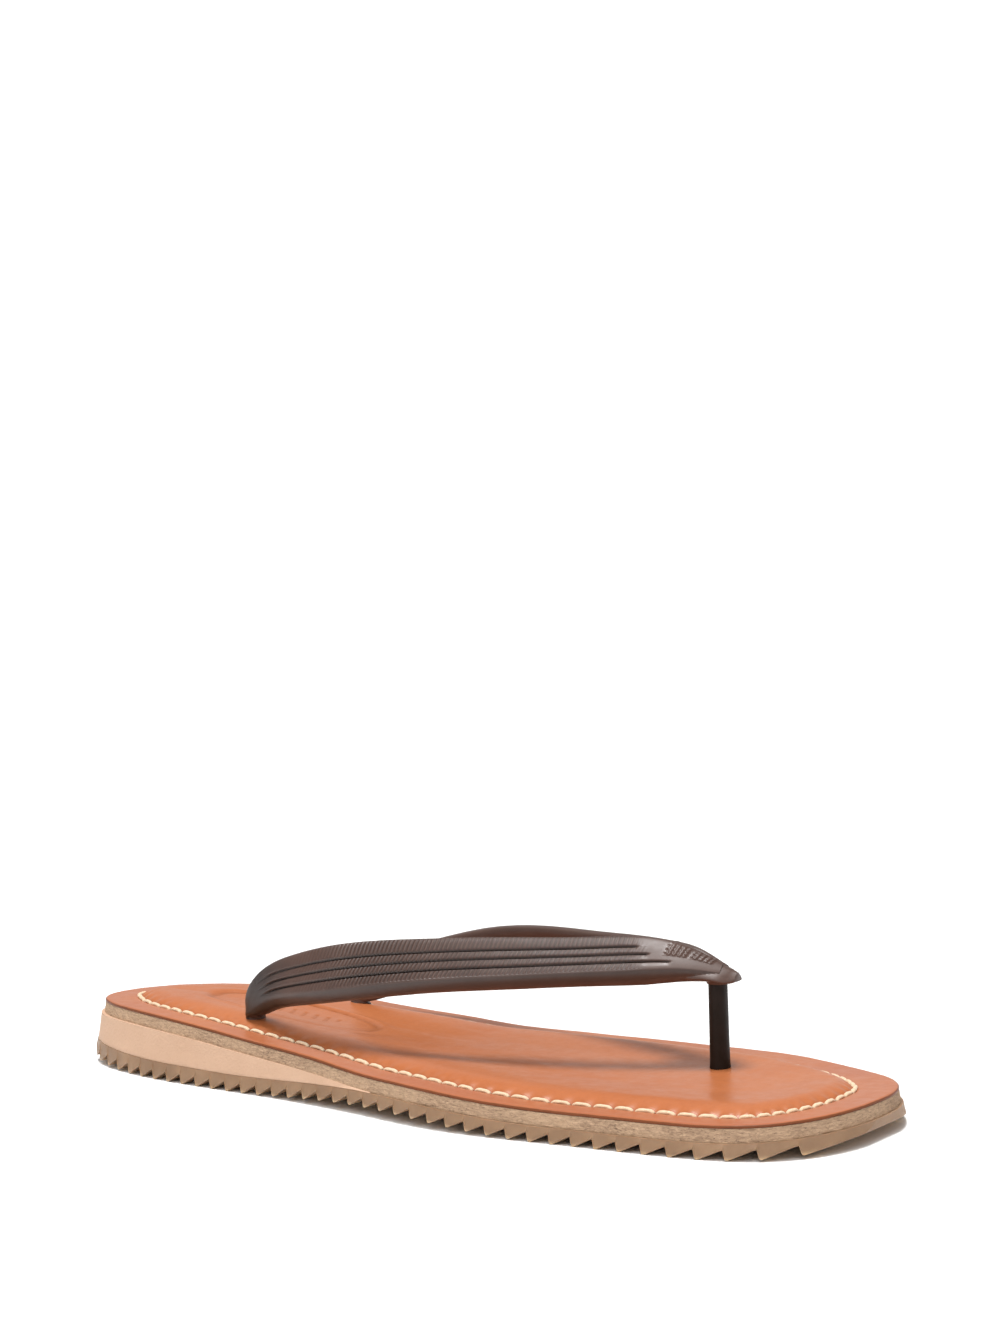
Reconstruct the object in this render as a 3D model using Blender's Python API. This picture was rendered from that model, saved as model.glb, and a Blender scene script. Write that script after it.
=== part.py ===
"""A right-foot flip flop: stitched leather footbed on a rubber wedge and a saw-toothed rubber outsole,
held to the foot by a moulded rubber strap with a toe post.

Frame: metres, +Z up, toe towards -Y, heel towards +Y, the big-toe side towards +X. The ground is z = 0.
Every layer follows the same plan outline and the same height datum, which rises over the arch, the wedge
and the two ends of the sole. Lengths are named in millimetres and turned into metres by MM.
"""

import math

import bmesh
import bpy
import numpy as np
from mathutils import Matrix, Vector

MM = 0.001

# ---------------------------------------------------------------- driving dimensions, in millimetres
# Plan outline of the footbed, from the back of the heel along the outer side to the toe and back.
OUTLINE = [
    (-10.0, 127.0), (-22.5, 121.3), (-29.8, 105.0), (-33.8, 82.0), (-35.4, 55.0), (-37.0, 30.0),
    (-40.6, 4.0), (-44.4, -20.0), (-44.4, -42.0), (-41.8, -64.0), (-39.6, -86.0), (-35.8, -107.0),
    (-27.4, -120.4), (-13.5, -127.8), (4.0, -129.7), (19.0, -126.6), (32.6, -115.6), (43.0, -95.5),
    (48.4, -75.0), (48.0, -55.0), (44.6, -37.0), (39.6, -18.0), (36.2, 4.0), (33.2, 25.0),
    (30.2, 46.0), (28.2, 66.0), (25.4, 84.0), (18.8, 102.4), (7.0, 118.8),
]
GAP = 0.3               # air between pieces that touch on the real object

ARCH_RISE = 2.4         # the sole clears the ground by this much under the arch
ARCH_CENTRE_Y = -2.0
ARCH_HALF_LENGTH = 62.0
HEEL_SPRING = 1.5       # the back edge lifts this much over the last stretch of the heel
HEEL_SETTLE = 1.3       # the layers over the outsole rise this much less there
HEEL_SPRING_FROM_Y = 85.0
HEEL_SPRING_LENGTH = 40.0
TOE_SPRING = 1.2
TOE_SPRING_FROM_Y = -95.0
TOE_SPRING_LENGTH = 30.0

WEDGE_HEIGHT = 10.7     # lift given by the wedge at the heel
WEDGE_TIP_Y = 4.0
WEDGE_FULL_Y = 110.0
WEDGE_EASE = 10.0       # the rise is eased in over this much either side of its start
WEDGE_SLOPE = WEDGE_HEIGHT * math.pi / 2 / (WEDGE_FULL_Y - WEDGE_TIP_Y)
WEDGE_SHARP_EDGE = 0.4  # thickness left at the wedge's feather edge

OUTSOLE_THICKNESS = 4.0
HEEL_THICKENING = 1.5   # the outsole is this much thicker at the heel
HEEL_THICKENING_FROM_Y = 10.0
HEEL_THICKENING_LENGTH = 100.0
TOOTH_PITCH = 6.2
TOOTH_DEPTH = 2.4
TOOTH_LAND = 0.8        # flat strip on each tip
TOOTH_STEEP_RUN = 0.5   # how far the steep face leans, from tip to root
TOOTH_COUNT = 40
FIRST_TOOTH_Y = 125.1
TOE_STRETCH = 0.103     # from this tooth on the spacing grows steadily by twice this
TOE_STRETCH_FROM = 31
TOE_BOTTOM_RISE = 1.7   # the smooth stretch ahead of the last tooth rises this much
OUTSOLE_TOP_OUTSET = 1.0
OUTSOLE_FLARE = 0.6     # further outset at the bottom of the outsole
HEEL_FLARE = 1.7        # further outset of the lower layers at the heel

MIDSOLE_BOTTOM = OUTSOLE_THICKNESS + GAP
MIDSOLE_THICKNESS = 2.85
MIDSOLE_TOP = MIDSOLE_BOTTOM + MIDSOLE_THICKNESS
COVER_BOTTOM = MIDSOLE_TOP + GAP
COVER_THICKNESS = 0.9
FOAM_THICKNESS = 1.9
FOAM_FROM = 1.8         # distance from the stitch line in to the foam's edge
FOAM_EDGE = 0.3         # thickness of the foam's skived edge
FOAM_SLOPE = 5.6        # width of the skived border

STITCH_INSET = 8.2      # distance from the outline in to the stitch line along the outer side
STITCH_INSET_MOST = 11.8
HEEL_EXTRA_INSET = 2.2
TOE_EXTRA_INSET = 2.7
BIG_TOE_EXTRA_INSET = 3.4
THREAD_WIDTH = 0.8
THREAD_HEIGHT = 0.6
NEEDLE_THREAD_Z = COVER_BOTTOM + COVER_THICKNESS + 0.25
BOBBIN_GROOVE_HALF_WIDTH = 0.7
BOBBIN_GROOVE_DEPTH = 1.0

OUTER_HOLE = (-20.5, 59.8)
INNER_HOLE = (17.0, 52.0)
POST_HOLE = (17.4, -74.4)
STEM_RADIUS = 2.6
STEM_DISC_RADIUS = 6.0
STEM_DISC_THICKNESS = 1.7
STEM_OVERLAP = 1.5      # how far a stem runs up inside its arm
POST_RADIUS = 2.85
POST_FLAT = 0.88        # the post is this much narrower front to back
POST_TOP_Z = 32.8
POST_PEG_RADIUS = 1.5
POST_PEG_LENGTH = 2.6
POST_DISC_RADIUS = 8.0
POST_DISC_THICKNESS = 0.9

# One strap arm from its neck to the front tip: x, y, z of the middle, width, thickness, lean in degrees
# (0 stands on edge, 90 lies flat with its ribbed face up).
OUTER_ARM = [
    (-20.6, 60.2, 19.5, 4.8, 5.9, 0.0),
    (-21.6, 59.2, 22.0, 7.4, 5.4, 3.0),
    (-24.0, 51.4, 27.6, 12.1, 4.9, 7.0),
    (-27.0, 39.0, 31.6, 14.2, 4.4, 13.0),
    (-27.6, 20.0, 35.4, 15.7, 4.1, 19.0),
    (-21.8, -5.0, 38.2, 14.7, 4.0, 25.0),
    (-12.6, -25.0, 39.0, 14.0, 4.0, 29.0),
    (-2.0, -43.5, 39.3, 13.3, 4.0, 34.0),
    (6.4, -57.0, 39.4, 13.2, 4.2, 38.0),
    (11.4, -67.0, 38.4, 10.1, 4.6, 42.0),
    (15.6, -76.4, 35.7, 5.0, 4.0, 50.0),
]
INNER_ARM = [
    (17.0, 52.0, 18.5, 5.6, 5.9, 0.0),
    (17.9, 48.6, 21.5, 7.6, 5.4, 3.0),
    (21.2, 43.0, 25.4, 11.6, 4.9, 7.0),
    (25.6, 28.0, 29.6, 14.6, 4.4, 13.0),
    (29.6, 9.0, 33.6, 15.8, 4.1, 19.0),
    (28.5, -14.0, 36.1, 15.1, 4.0, 25.0),
    (26.2, -32.0, 36.7, 14.0, 4.0, 29.0),
    (24.4, -48.0, 37.2, 13.3, 4.0, 34.0),
    (21.8, -60.0, 37.4, 12.4, 4.2, 38.0),
    (19.6, -68.5, 37.2, 10.0, 4.6, 42.0),
    (17.8, -76.5, 35.4, 4.0, 4.0, 50.0),
]
# The knot where the arms meet over the post, in the same columns as an arm, narrower towards its ridge.
KNOT = [
    (14.2, -58.5, 40.8, 5.0, 4.0, 0.0),
    (14.5, -61.5, 39.4, 8.8, 8.0, 0.0),
    (15.2, -66.5, 37.7, 8.4, 10.4, 0.0),
    (16.0, -71.5, 36.6, 6.4, 9.6, 0.0),
    (16.7, -76.0, 35.5, 4.5, 8.6, 0.0),
    (17.1, -78.8, 34.7, 3.8, 6.4, 0.0),
    (17.2, -80.8, 34.6, 2.4, 3.4, 0.0),
]
KNOT_TAPER = 0.6
COLLAR_RADIUS = 3.6
COLLAR_BOTTOM_Z = 33.1
COLLAR_TOP_Z = 36.4

# ---------------------------------------------------------------- resolution of the solids
OUTLINE_SAMPLES = 720
CHAIN_STEPS = 36        # steps along each side of the footbed, heel to toe
ARM_STEPS = 26
ARM_SIDES = 12
ROUND_STEPS = 20


def clear_scene():
    for thing in list(bpy.data.objects):
        bpy.data.objects.remove(thing)


# ---------------------------------------------------------------- plan outline
def closed_spline(points, samples):
    """A smooth closed curve through the points: a periodic cubic with continuous curvature."""
    p = np.array(points, float)
    n = len(p)
    system = 4 * np.eye(n) + np.roll(np.eye(n), 1, 0) + np.roll(np.eye(n), -1, 0)
    slopes = np.linalg.solve(system, 3 * (np.roll(p, -1, 0) - np.roll(p, 1, 0)))
    t = np.linspace(0, n, samples, endpoint=False)
    i = t.astype(int) % n
    u = (t - t.astype(int))[:, None]
    j = (i + 1) % n
    return (
        p[i] * (2 * u**3 - 3 * u**2 + 1)
        + slopes[i] * (u**3 - 2 * u**2 + u)
        + p[j] * (3 * u**2 - 2 * u**3)
        + slopes[j] * (u**3 - u**2)
    )


def offset_outline(outline, distance):
    """The outline moved outwards by a distance, which may differ from point to point."""
    along = np.roll(outline, -1, 0) - np.roll(outline, 1, 0)
    along /= np.linalg.norm(along, axis=1)[:, None]
    outwards = np.column_stack([-along[:, 1], along[:, 0]])
    centre = outline.mean(0)
    if ((outline - centre) * outwards).sum() < 0:
        outwards = -outwards
    return outline + outwards * np.reshape(distance, (-1, 1))


def split_sides(outline):
    """The outer and the inner side of a closed outline, each from the heel's back to the toe's front."""
    heel = int(np.argmax(outline[:, 1]))
    rolled = np.roll(outline, -heel, 0)
    toe = int(np.argmin(rolled[:, 1]))
    first = rolled[: toe + 1]
    second = np.vstack([rolled[toe:], rolled[:1]])[::-1]
    return (first, second) if first[:, 0].mean() < second[:, 0].mean() else (second, first)


def resample(chain, steps):
    """Points at equal steps of length along an open chain."""
    lengths = np.r_[0, np.cumsum(np.linalg.norm(np.diff(chain, axis=0), axis=1))]
    t = np.linspace(0, lengths[-1], steps + 1)
    return np.column_stack([np.interp(t, lengths, chain[:, k]) for k in range(2)])


def heel_thickening(y):
    return HEEL_THICKENING * float(np.clip((y - HEEL_THICKENING_FROM_Y) / HEEL_THICKENING_LENGTH, 0, 1))


def stitch_inset(outline):
    """Distance in to the stitch line at each outline point: more round the heel, the toe and the big-toe side."""
    x, y = outline[:, 0], outline[:, 1]
    heel, toe = smooth((y - 98.0) / 26.0), smooth((-y - 106.0) / 22.0)
    big_toe = smooth((x - 15.0) / 25.0) * smooth((-y - 40.0) / 40.0)
    extra = HEEL_EXTRA_INSET * heel + TOE_EXTRA_INSET * toe + BIG_TOE_EXTRA_INSET * big_toe
    return np.minimum(STITCH_INSET + extra, STITCH_INSET_MOST)


# ---------------------------------------------------------------- heights
def underside(y):
    """Height of the tread's tips over the ground."""
    y = np.asarray(y, float)
    swing = np.clip((y - ARCH_CENTRE_Y) / ARCH_HALF_LENGTH, -1, 1)
    z = ARCH_RISE * np.cos(swing * math.pi / 2) ** 2
    z = z + HEEL_SPRING * (np.clip(y - HEEL_SPRING_FROM_Y, 0, None) / HEEL_SPRING_LENGTH) ** 2
    return z + TOE_SPRING * (np.clip(TOE_SPRING_FROM_Y - y, 0, None) / TOE_SPRING_LENGTH) ** 2


def wedge_lift(y):
    """Sine rise of the wedge, eased in where it starts so that the layers bend without a crease."""
    along = np.asarray(y, float) - WEDGE_TIP_Y
    lift = WEDGE_HEIGHT * np.sin(np.clip(along / (WEDGE_FULL_Y - WEDGE_TIP_Y), 0, 1) * math.pi / 2)
    return lift + WEDGE_SLOPE * np.clip(WEDGE_EASE - abs(along), 0, None) ** 2 / (4 * WEDGE_EASE)


def footbed_datum(y):
    """What every layer above the wedge adds to its own height."""
    y = np.asarray(y, float)
    settle = HEEL_SETTLE * (np.clip(y - HEEL_SPRING_FROM_Y, 0, None) / HEEL_SPRING_LENGTH) ** 2
    return underside(y) + wedge_lift(y) - settle


def heel_share(y):
    return np.clip(np.asarray(y, float) / FIRST_TOOTH_Y, 0, 1)


def smooth(t):
    t = np.clip(t, 0, 1)
    return t * t * (3 - 2 * t)


# ---------------------------------------------------------------- mesh helpers
def add_object(name, mesh_builder, colour, roughness):
    """An object in the scene from a bmesh, with its faces turned outwards and its own material."""
    bmesh.ops.recalc_face_normals(mesh_builder, faces=mesh_builder.faces)
    mesh = bpy.data.meshes.new(name)
    mesh_builder.to_mesh(mesh)
    mesh_builder.free()
    thing = bpy.data.objects.new(name, mesh)
    bpy.context.scene.collection.objects.link(thing)
    material = bpy.data.materials.new(name)
    material.use_nodes = True
    shader = material.node_tree.nodes["Principled BSDF"]
    shader.inputs["Base Color"].default_value = (*colour, 1.0)
    shader.inputs["Roughness"].default_value = roughness
    shader.inputs["Metallic"].default_value = 0.0
    mesh.materials.append(material)
    return thing


def shade_round(thing, angle=35.0):
    thing.data.shade_smooth()
    thing.data.set_sharp_from_angle(angle=math.radians(angle))


def cut(thing, cutter, operation="DIFFERENCE"):
    modifier = thing.modifiers.new(f"{operation.lower()}_{cutter.name}", "BOOLEAN")
    modifier.operation = operation
    modifier.solver = "EXACT"
    modifier.object = cutter
    cutter.hide_render = True
    cutter.display_type = "WIRE"


def row_slab(rows):
    """A solid from cross rows, each (y, low left x, low right x, low z, high left x, high right x, high z)."""
    build = bmesh.new()
    corners = []
    for y, low_left, low_right, low_z, high_left, high_right, high_z in rows:
        loop = [(low_left, low_z), (low_right, low_z), (high_right, high_z), (high_left, high_z)]
        corners.append([build.verts.new((x * MM, y * MM, z * MM)) for x, z in loop])
    for here, there in zip(corners[:-1], corners[1:]):
        for k in range(4):
            m = (k + 1) % 4
            build.faces.new((here[k], here[m], there[m], there[k]))
    build.faces.new(corners[0][::-1])
    build.faces.new(corners[-1])
    return build


def ring_slab(outline, top, bottom, datum, closed_middle=True):
    """A solid whose top and bottom are rings, each (inset, height over the datum), from the edge inwards.
    The middle is filled from side to side, or left open as a hoop."""
    build = bmesh.new()

    def ring(inset, height):
        outer, inner = split_sides(offset_outline(outline, -inset))
        outer, inner = resample(outer, CHAIN_STEPS), resample(inner, CHAIN_STEPS)
        points = np.vstack([outer, inner[-2:0:-1]])
        heights = datum(points[:, 1]) + height
        return [build.verts.new((x * MM, y * MM, z * MM)) for (x, y), z in zip(points, heights)]

    def band(a, b):
        for k in range(len(a)):
            m = (k + 1) % len(a)
            build.faces.new((a[k], a[m], b[m], b[k]))

    def middle(loop):
        n = len(loop)
        for k in range(CHAIN_STEPS):
            across = [loop[k], loop[k + 1], loop[(n - k - 1) % n], loop[(n - k) % n]]
            build.faces.new(list(dict.fromkeys(across)))

    tops = [ring(*r) for r in top]
    bottoms = [ring(*r) for r in bottom]
    for here, there in zip(tops[:-1], tops[1:]):
        band(here, there)
    for here, there in zip(bottoms[:-1], bottoms[1:]):
        band(here, there)
    band(tops[0], bottoms[0])
    if closed_middle:
        middle(tops[-1])
        middle(bottoms[-1])
    else:
        band(tops[-1], bottoms[-1])
    return build


def turned(profile, squash_y=1.0):
    """A solid turned round the Z axis from (radius, z) points, both ends closed on the axis."""
    build = bmesh.new()
    loops = []
    for radius, z in profile:
        turn = [2 * math.pi * k / ROUND_STEPS for k in range(ROUND_STEPS)]
        loops.append([build.verts.new((radius * math.cos(a) * MM, radius * squash_y * math.sin(a) * MM, z * MM))
                      for a in turn])
    for here, there in zip(loops[:-1], loops[1:]):
        for k in range(ROUND_STEPS):
            m = (k + 1) % ROUND_STEPS
            build.faces.new((here[k], here[m], there[m], there[k]))
    build.faces.new(loops[0][::-1])
    build.faces.new(loops[-1])
    return build


def standing_on(build, place, slope=0.0):
    """Tilts a solid with the footbed's slope and moves its foot to a place, both in the object's frame."""
    tilt = Matrix.Rotation(math.atan(slope), 4, "X")
    bmesh.ops.transform(build, verts=build.verts, matrix=Matrix.Translation(Vector(place) * MM) @ tilt)
    return build


# ---------------------------------------------------------------- strap arms
def spline_through(points, samples):
    """A smooth open curve through the rows of a table, spaced by the distance between their points."""
    p = np.array(points, float)
    n = len(p)
    t = np.r_[0, np.cumsum(np.sqrt(np.linalg.norm(np.diff(p[:, :3], axis=0), axis=1)))]
    h = np.diff(t)
    system = np.zeros((n, n))
    right = np.zeros((n, p.shape[1]))
    system[0, 0] = system[-1, -1] = 1
    for k in range(1, n - 1):
        system[k, k - 1], system[k, k], system[k, k + 1] = h[k - 1], 2 * (h[k - 1] + h[k]), h[k]
        right[k] = 6 * ((p[k + 1] - p[k]) / h[k] - (p[k] - p[k - 1]) / h[k - 1])
    bend = np.linalg.solve(system, right)
    at = np.linspace(0, t[-1], samples)
    k = np.clip(np.searchsorted(t, at, "right") - 1, 0, n - 2)
    a, b, w = (at - t[k])[:, None], (t[k + 1] - at)[:, None], h[k][:, None]
    return (
        bend[k] * b**3 / (6 * w)
        + bend[k + 1] * a**3 / (6 * w)
        + (p[k] / w - bend[k] * w / 6) * b
        + (p[k + 1] / w - bend[k + 1] * w / 6) * a
    )


def arm_section(width, thickness):
    """Round-edged band section: (across, outwards) points, the outer face slightly crowned."""
    points = []
    for k in range(ARM_SIDES):
        turn = 2 * math.pi * k / ARM_SIDES
        across = math.copysign(abs(math.cos(turn)) ** 0.75, math.cos(turn)) * width / 2
        out = math.copysign(abs(math.sin(turn)) ** 0.55, math.sin(turn)) * thickness / 2
        points.append((across, out))
    return points


def arm(stations, side, taper=0.0):
    """A strap arm swept along its stations. side is -1 for the outer arm and +1 for the inner one."""
    path = spline_through(stations, ARM_STEPS)
    along = np.gradient(path[:, :3], axis=0)
    along /= np.linalg.norm(along, axis=1)[:, None]
    build = bmesh.new()
    loops = []
    for (x, y, z, width, thickness, lean), t in zip(path, along):
        plan = np.array([t[0], t[1], 0.0])
        plan /= np.linalg.norm(plan)
        outwards = np.array([-plan[1], plan[0], 0.0]) * (1 if -plan[1] * side > 0 else -1)
        outwards -= t * (outwards @ t)
        outwards /= np.linalg.norm(outwards)
        up = np.cross(t, outwards)
        up *= 1 if up[2] > 0 else -1
        turn = math.radians(lean)
        face = outwards * math.cos(turn) + up * math.sin(turn)
        edge = up * math.cos(turn) - outwards * math.sin(turn)
        centre = np.array([x, y, z])
        loops.append([build.verts.new(tuple((centre + edge * a + face * o * (1 - taper * a * 2 / width)) * MM))
                      for a, o in arm_section(width, thickness)])
    for here, there in zip(loops[:-1], loops[1:]):
        for k in range(ARM_SIDES):
            m = (k + 1) % ARM_SIDES
            build.faces.new((here[k], here[m], there[m], there[k]))
    build.faces.new(loops[0][::-1])
    build.faces.new(loops[-1])
    return build


# ---------------------------------------------------------------- the pieces
def make_outsole(outline):
    """Rubber outsole: flat top under the other layers, saw teeth across the whole width below."""
    outset_low = OUTSOLE_TOP_OUTSET + OUTSOLE_FLARE + HEEL_FLARE * heel_share(outline[:, 1])
    outset_high = OUTSOLE_TOP_OUTSET + HEEL_FLARE * heel_share(outline[:, 1])
    low_outer, low_inner = split_sides(offset_outline(outline, outset_low))
    high_outer, high_inner = split_sides(offset_outline(outline, outset_high))
    heel_end = min(low_outer[0, 1], high_outer[0, 1]) - 0.1
    toe_end = max(low_outer[-1, 1], high_outer[-1, 1]) + 0.1
    stations = []  # y, and height of the bottom over the underside line
    for k in range(TOOTH_COUNT):
        tip = FIRST_TOOTH_Y - k * TOOTH_PITCH - TOE_STRETCH * max(0, k - TOE_STRETCH_FROM) ** 2
        stations.append((tip + TOOTH_STEEP_RUN, TOOTH_DEPTH + heel_thickening(tip) / 3))
        stations.append((tip, 0.0))
        stations.append((tip - TOOTH_LAND, 0.0))
    last = stations[-1][0]
    stations.append(((last + toe_end) / 2, TOE_BOTTOM_RISE / 2))
    stations += [(toe_end + step, TOE_BOTTOM_RISE) for step in (1.6, 0.5, 0.0)]
    stations = [(heel_end, TOOTH_DEPTH), (heel_end - 0.4, TOOTH_DEPTH)] + stations

    def side_x(chain, y):
        return float(np.interp(-y, -chain[:, 1], chain[:, 0]))

    rows = []
    for y, height in stations:
        ground = float(underside(y))
        rows.append((y, side_x(low_outer, y), side_x(low_inner, y), ground + height,
                     side_x(high_outer, y), side_x(high_inner, y),
                     ground + OUTSOLE_THICKNESS + heel_thickening(y)))
    return add_object("outsole", row_slab(rows), (0.34, 0.22, 0.14), 0.45)


def make_heel_wedge(outline):
    """Rubber wedge between the outsole and the midsole, from a feather edge to full height at the heel."""
    tip_y = WEDGE_TIP_Y - WEDGE_EASE + math.sqrt(4 * WEDGE_EASE * (WEDGE_SHARP_EDGE + GAP) / WEDGE_SLOPE)
    outset_low = OUTSOLE_TOP_OUTSET + HEEL_FLARE * heel_share(outline[:, 1])
    low_outer, low_inner = split_sides(offset_outline(outline, outset_low - 0.2))
    high_outer, high_inner = split_sides(offset_outline(outline, outset_low * 0.5))
    heel_end = min(low_outer[0, 1], high_outer[0, 1])
    spread = np.r_[heel_end - np.array([0.15, 0.7, 1.8, 3.6, 6.0, 9.0]), np.linspace(heel_end - 13, tip_y, 22)]
    rows = []
    for y in spread:
        bottom = float(underside(y)) + OUTSOLE_THICKNESS + heel_thickening(y) + GAP
        top = float(footbed_datum(y)) + OUTSOLE_THICKNESS
        xs = [float(np.interp(-y, -c[:, 1], c[:, 0])) for c in (low_outer, low_inner, high_outer, high_inner)]
        rows.append((y, xs[0], xs[1], bottom, xs[2], xs[3], top))
    return add_object("heel_wedge", row_slab(rows), (0.72, 0.50, 0.36), 0.6)


def make_midsole(outline):
    """Leather midsole, grooved underneath for the bobbin thread."""
    stitch = stitch_inset(outline)
    groove = [
        (stitch - BOBBIN_GROOVE_HALF_WIDTH, 0.0),
        (stitch - BOBBIN_GROOVE_HALF_WIDTH, BOBBIN_GROOVE_DEPTH),
        (stitch + BOBBIN_GROOVE_HALF_WIDTH, BOBBIN_GROOVE_DEPTH),
        (stitch + BOBBIN_GROOVE_HALF_WIDTH, 0.0),
    ]
    top = [(0.0, MIDSOLE_TOP), (16.0, MIDSOLE_TOP)]
    bottom = [(-0.4, MIDSOLE_BOTTOM)] + [(d, MIDSOLE_BOTTOM + h) for d, h in groove] + [(16.0, MIDSOLE_BOTTOM)]
    build = ring_slab(outline, top, bottom, footbed_datum)
    return add_object("midsole", build, (0.50, 0.36, 0.25), 0.9)


FOAM_SHARES = (0.0, 0.3, 0.6, 1.0)      # rings across the skived border


def foam_top(share):
    return COVER_BOTTOM + FOAM_EDGE + (FOAM_THICKNESS - FOAM_EDGE) * float(smooth(share))


def make_footbed_foam(outline):
    """Foam pad under the cover, thin at its border."""
    edge = stitch_inset(outline) + FOAM_FROM
    top = [(edge + FOAM_SLOPE * s, foam_top(s)) for s in FOAM_SHARES]
    bottom = [(edge, COVER_BOTTOM), (edge + FOAM_SLOPE, COVER_BOTTOM)]
    build = ring_slab(outline, top, bottom, footbed_datum)
    return add_object("footbed_foam", build, (0.75, 0.72, 0.62), 0.95)


def make_insole_cover(outline):
    """Leather cover: a flat border outside the stitch line, and a padded crown inside it."""
    flat_top = COVER_BOTTOM + COVER_THICKNESS
    stitch = stitch_inset(outline)
    edge = stitch + FOAM_FROM
    lift = GAP + COVER_THICKNESS
    top = [(0.0, flat_top - 0.25), (0.6, flat_top), (stitch - 0.8, flat_top), (stitch, flat_top - 0.1),
           (stitch + 0.8, flat_top + 0.1)] + [(edge + FOAM_SLOPE * s, foam_top(s) + lift) for s in FOAM_SHARES]
    bottom = [(0.0, COVER_BOTTOM), (edge - 1.1, COVER_BOTTOM), (edge - 0.4, COVER_BOTTOM + FOAM_EDGE + GAP)]
    bottom += [(edge + FOAM_SLOPE * s, foam_top(s) + GAP) for s in FOAM_SHARES]
    build = ring_slab(outline, top, bottom, footbed_datum)
    return add_object("insole_cover", build, (0.58, 0.24, 0.09), 0.45)


def make_thread(name, outline, height, datum, colour):
    """One closed run of thread along the stitch line."""
    stitch = stitch_inset(outline)
    low, high = stitch - THREAD_WIDTH / 2, stitch + THREAD_WIDTH / 2
    top = [(low, height + THREAD_HEIGHT), (high, height + THREAD_HEIGHT)]
    bottom = [(low, height), (high, height)]
    return add_object(name, ring_slab(outline, top, bottom, datum, closed_middle=False), colour, 0.8)


def slope_at(y):
    return float(footbed_datum(y + 1) - footbed_datum(y - 1)) / 2


def stem_solid(name, hole, top_z):
    """A stem with the disc that locks it under the midsole, upright on the footbed's slope."""
    x, y = hole
    foot = float(footbed_datum(y)) + OUTSOLE_THICKNESS
    profile = [
        (STEM_DISC_RADIUS, -STEM_DISC_THICKNESS - GAP), (STEM_DISC_RADIUS, -GAP), (STEM_RADIUS, -GAP),
        (STEM_RADIUS, top_z - foot),
    ]
    build = standing_on(turned(profile), (x, y, foot), slope_at(y))
    return add_object(name, build, (0.05, 0.035, 0.03), 0.7)


def make_toe_post():
    """Toe post: disc under the midsole, slightly flattened shaft, and a peg into the strap's collar."""
    x, y = POST_HOLE
    foot = float(footbed_datum(y)) + OUTSOLE_THICKNESS
    profile = [
        (POST_DISC_RADIUS, foot - POST_DISC_THICKNESS), (POST_DISC_RADIUS, foot), (POST_RADIUS, foot),
        (POST_RADIUS, POST_TOP_Z), (POST_PEG_RADIUS, POST_TOP_Z), (POST_PEG_RADIUS, POST_TOP_Z + POST_PEG_LENGTH),
    ]
    build = standing_on(turned(profile, POST_FLAT), (x, y, 0.0))
    return add_object("toe_post", build, (0.035, 0.025, 0.02), 0.55)


def round_cutter(name, place, radius, low_z, high_z, slope=0.0, squash_y=1.0):
    build = standing_on(turned([(radius, low_z), (radius, high_z)], squash_y), place, slope)
    cutter = add_object(name, build, (0.5, 0.5, 0.5), 0.5)
    cutter.hide_render = True
    cutter.display_type = "WIRE"
    return cutter


def make_strap():
    """One moulded rubber strap: two arms that meet over the toe post, a collar, and two stems with discs."""
    colour, roughness = (0.11, 0.075, 0.06), 0.6
    strap = add_object("strap", arm(OUTER_ARM, -1), colour, roughness)
    collar = turned([(COLLAR_RADIUS * 0.8, COLLAR_BOTTOM_Z), (COLLAR_RADIUS, COLLAR_BOTTOM_Z + 1.2),
                     (COLLAR_RADIUS, COLLAR_TOP_Z)])
    shapes = {
        "strap_inner_arm_shape": arm(INNER_ARM, 1),
        "strap_knot_shape": arm(KNOT, -1, KNOT_TAPER),
        "strap_collar_shape": standing_on(collar, (*POST_HOLE, 0.0)),
    }
    for name, build in shapes.items():
        cut(strap, add_object(name, build, colour, roughness), "UNION")
    for name, hole, stations in (("outer", OUTER_HOLE, OUTER_ARM), ("inner", INNER_HOLE, INNER_ARM)):
        cut(strap, stem_solid(f"strap_{name}_stem_shape", hole, stations[0][2] + STEM_OVERLAP), "UNION")
    socket = round_cutter("post_socket_cutter", (*POST_HOLE, 0.0), POST_PEG_RADIUS + GAP,
                          COLLAR_BOTTOM_Z - 1.0, POST_TOP_Z + POST_PEG_LENGTH + GAP)
    cut(strap, socket)
    return strap


def cut_holes(pieces):
    """Holes for the stems and the post through the footbed, and recesses for their discs below it."""
    for name, hole in (("outer", OUTER_HOLE), ("inner", INNER_HOLE)):
        foot = float(footbed_datum(hole[1])) + OUTSOLE_THICKNESS
        through = round_cutter(f"{name}_stem_cutter", (*hole, foot), STEM_RADIUS + GAP, -1.0, 12.0,
                               slope_at(hole[1]))
        for piece in ("midsole", "footbed_foam", "insole_cover"):
            cut(pieces[piece], through)
        recess = round_cutter(f"{name}_disc_cutter", (*hole, foot), STEM_DISC_RADIUS + GAP,
                              -STEM_DISC_THICKNESS - 2 * GAP, 2.0, slope_at(hole[1]))
        cut(pieces["heel_wedge"], recess)
    foot = float(footbed_datum(POST_HOLE[1])) + OUTSOLE_THICKNESS
    through = round_cutter("post_cutter", (*POST_HOLE, foot), POST_RADIUS + GAP, -1.0, 9.0, squash_y=POST_FLAT)
    for piece in ("midsole", "footbed_foam", "insole_cover"):
        cut(pieces[piece], through)
    recess = round_cutter("post_disc_cutter", (*POST_HOLE, foot), POST_DISC_RADIUS + GAP,
                          -POST_DISC_THICKNESS - GAP, 2.0, squash_y=POST_FLAT + 0.04)
    cut(pieces["outsole"], recess)


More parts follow.
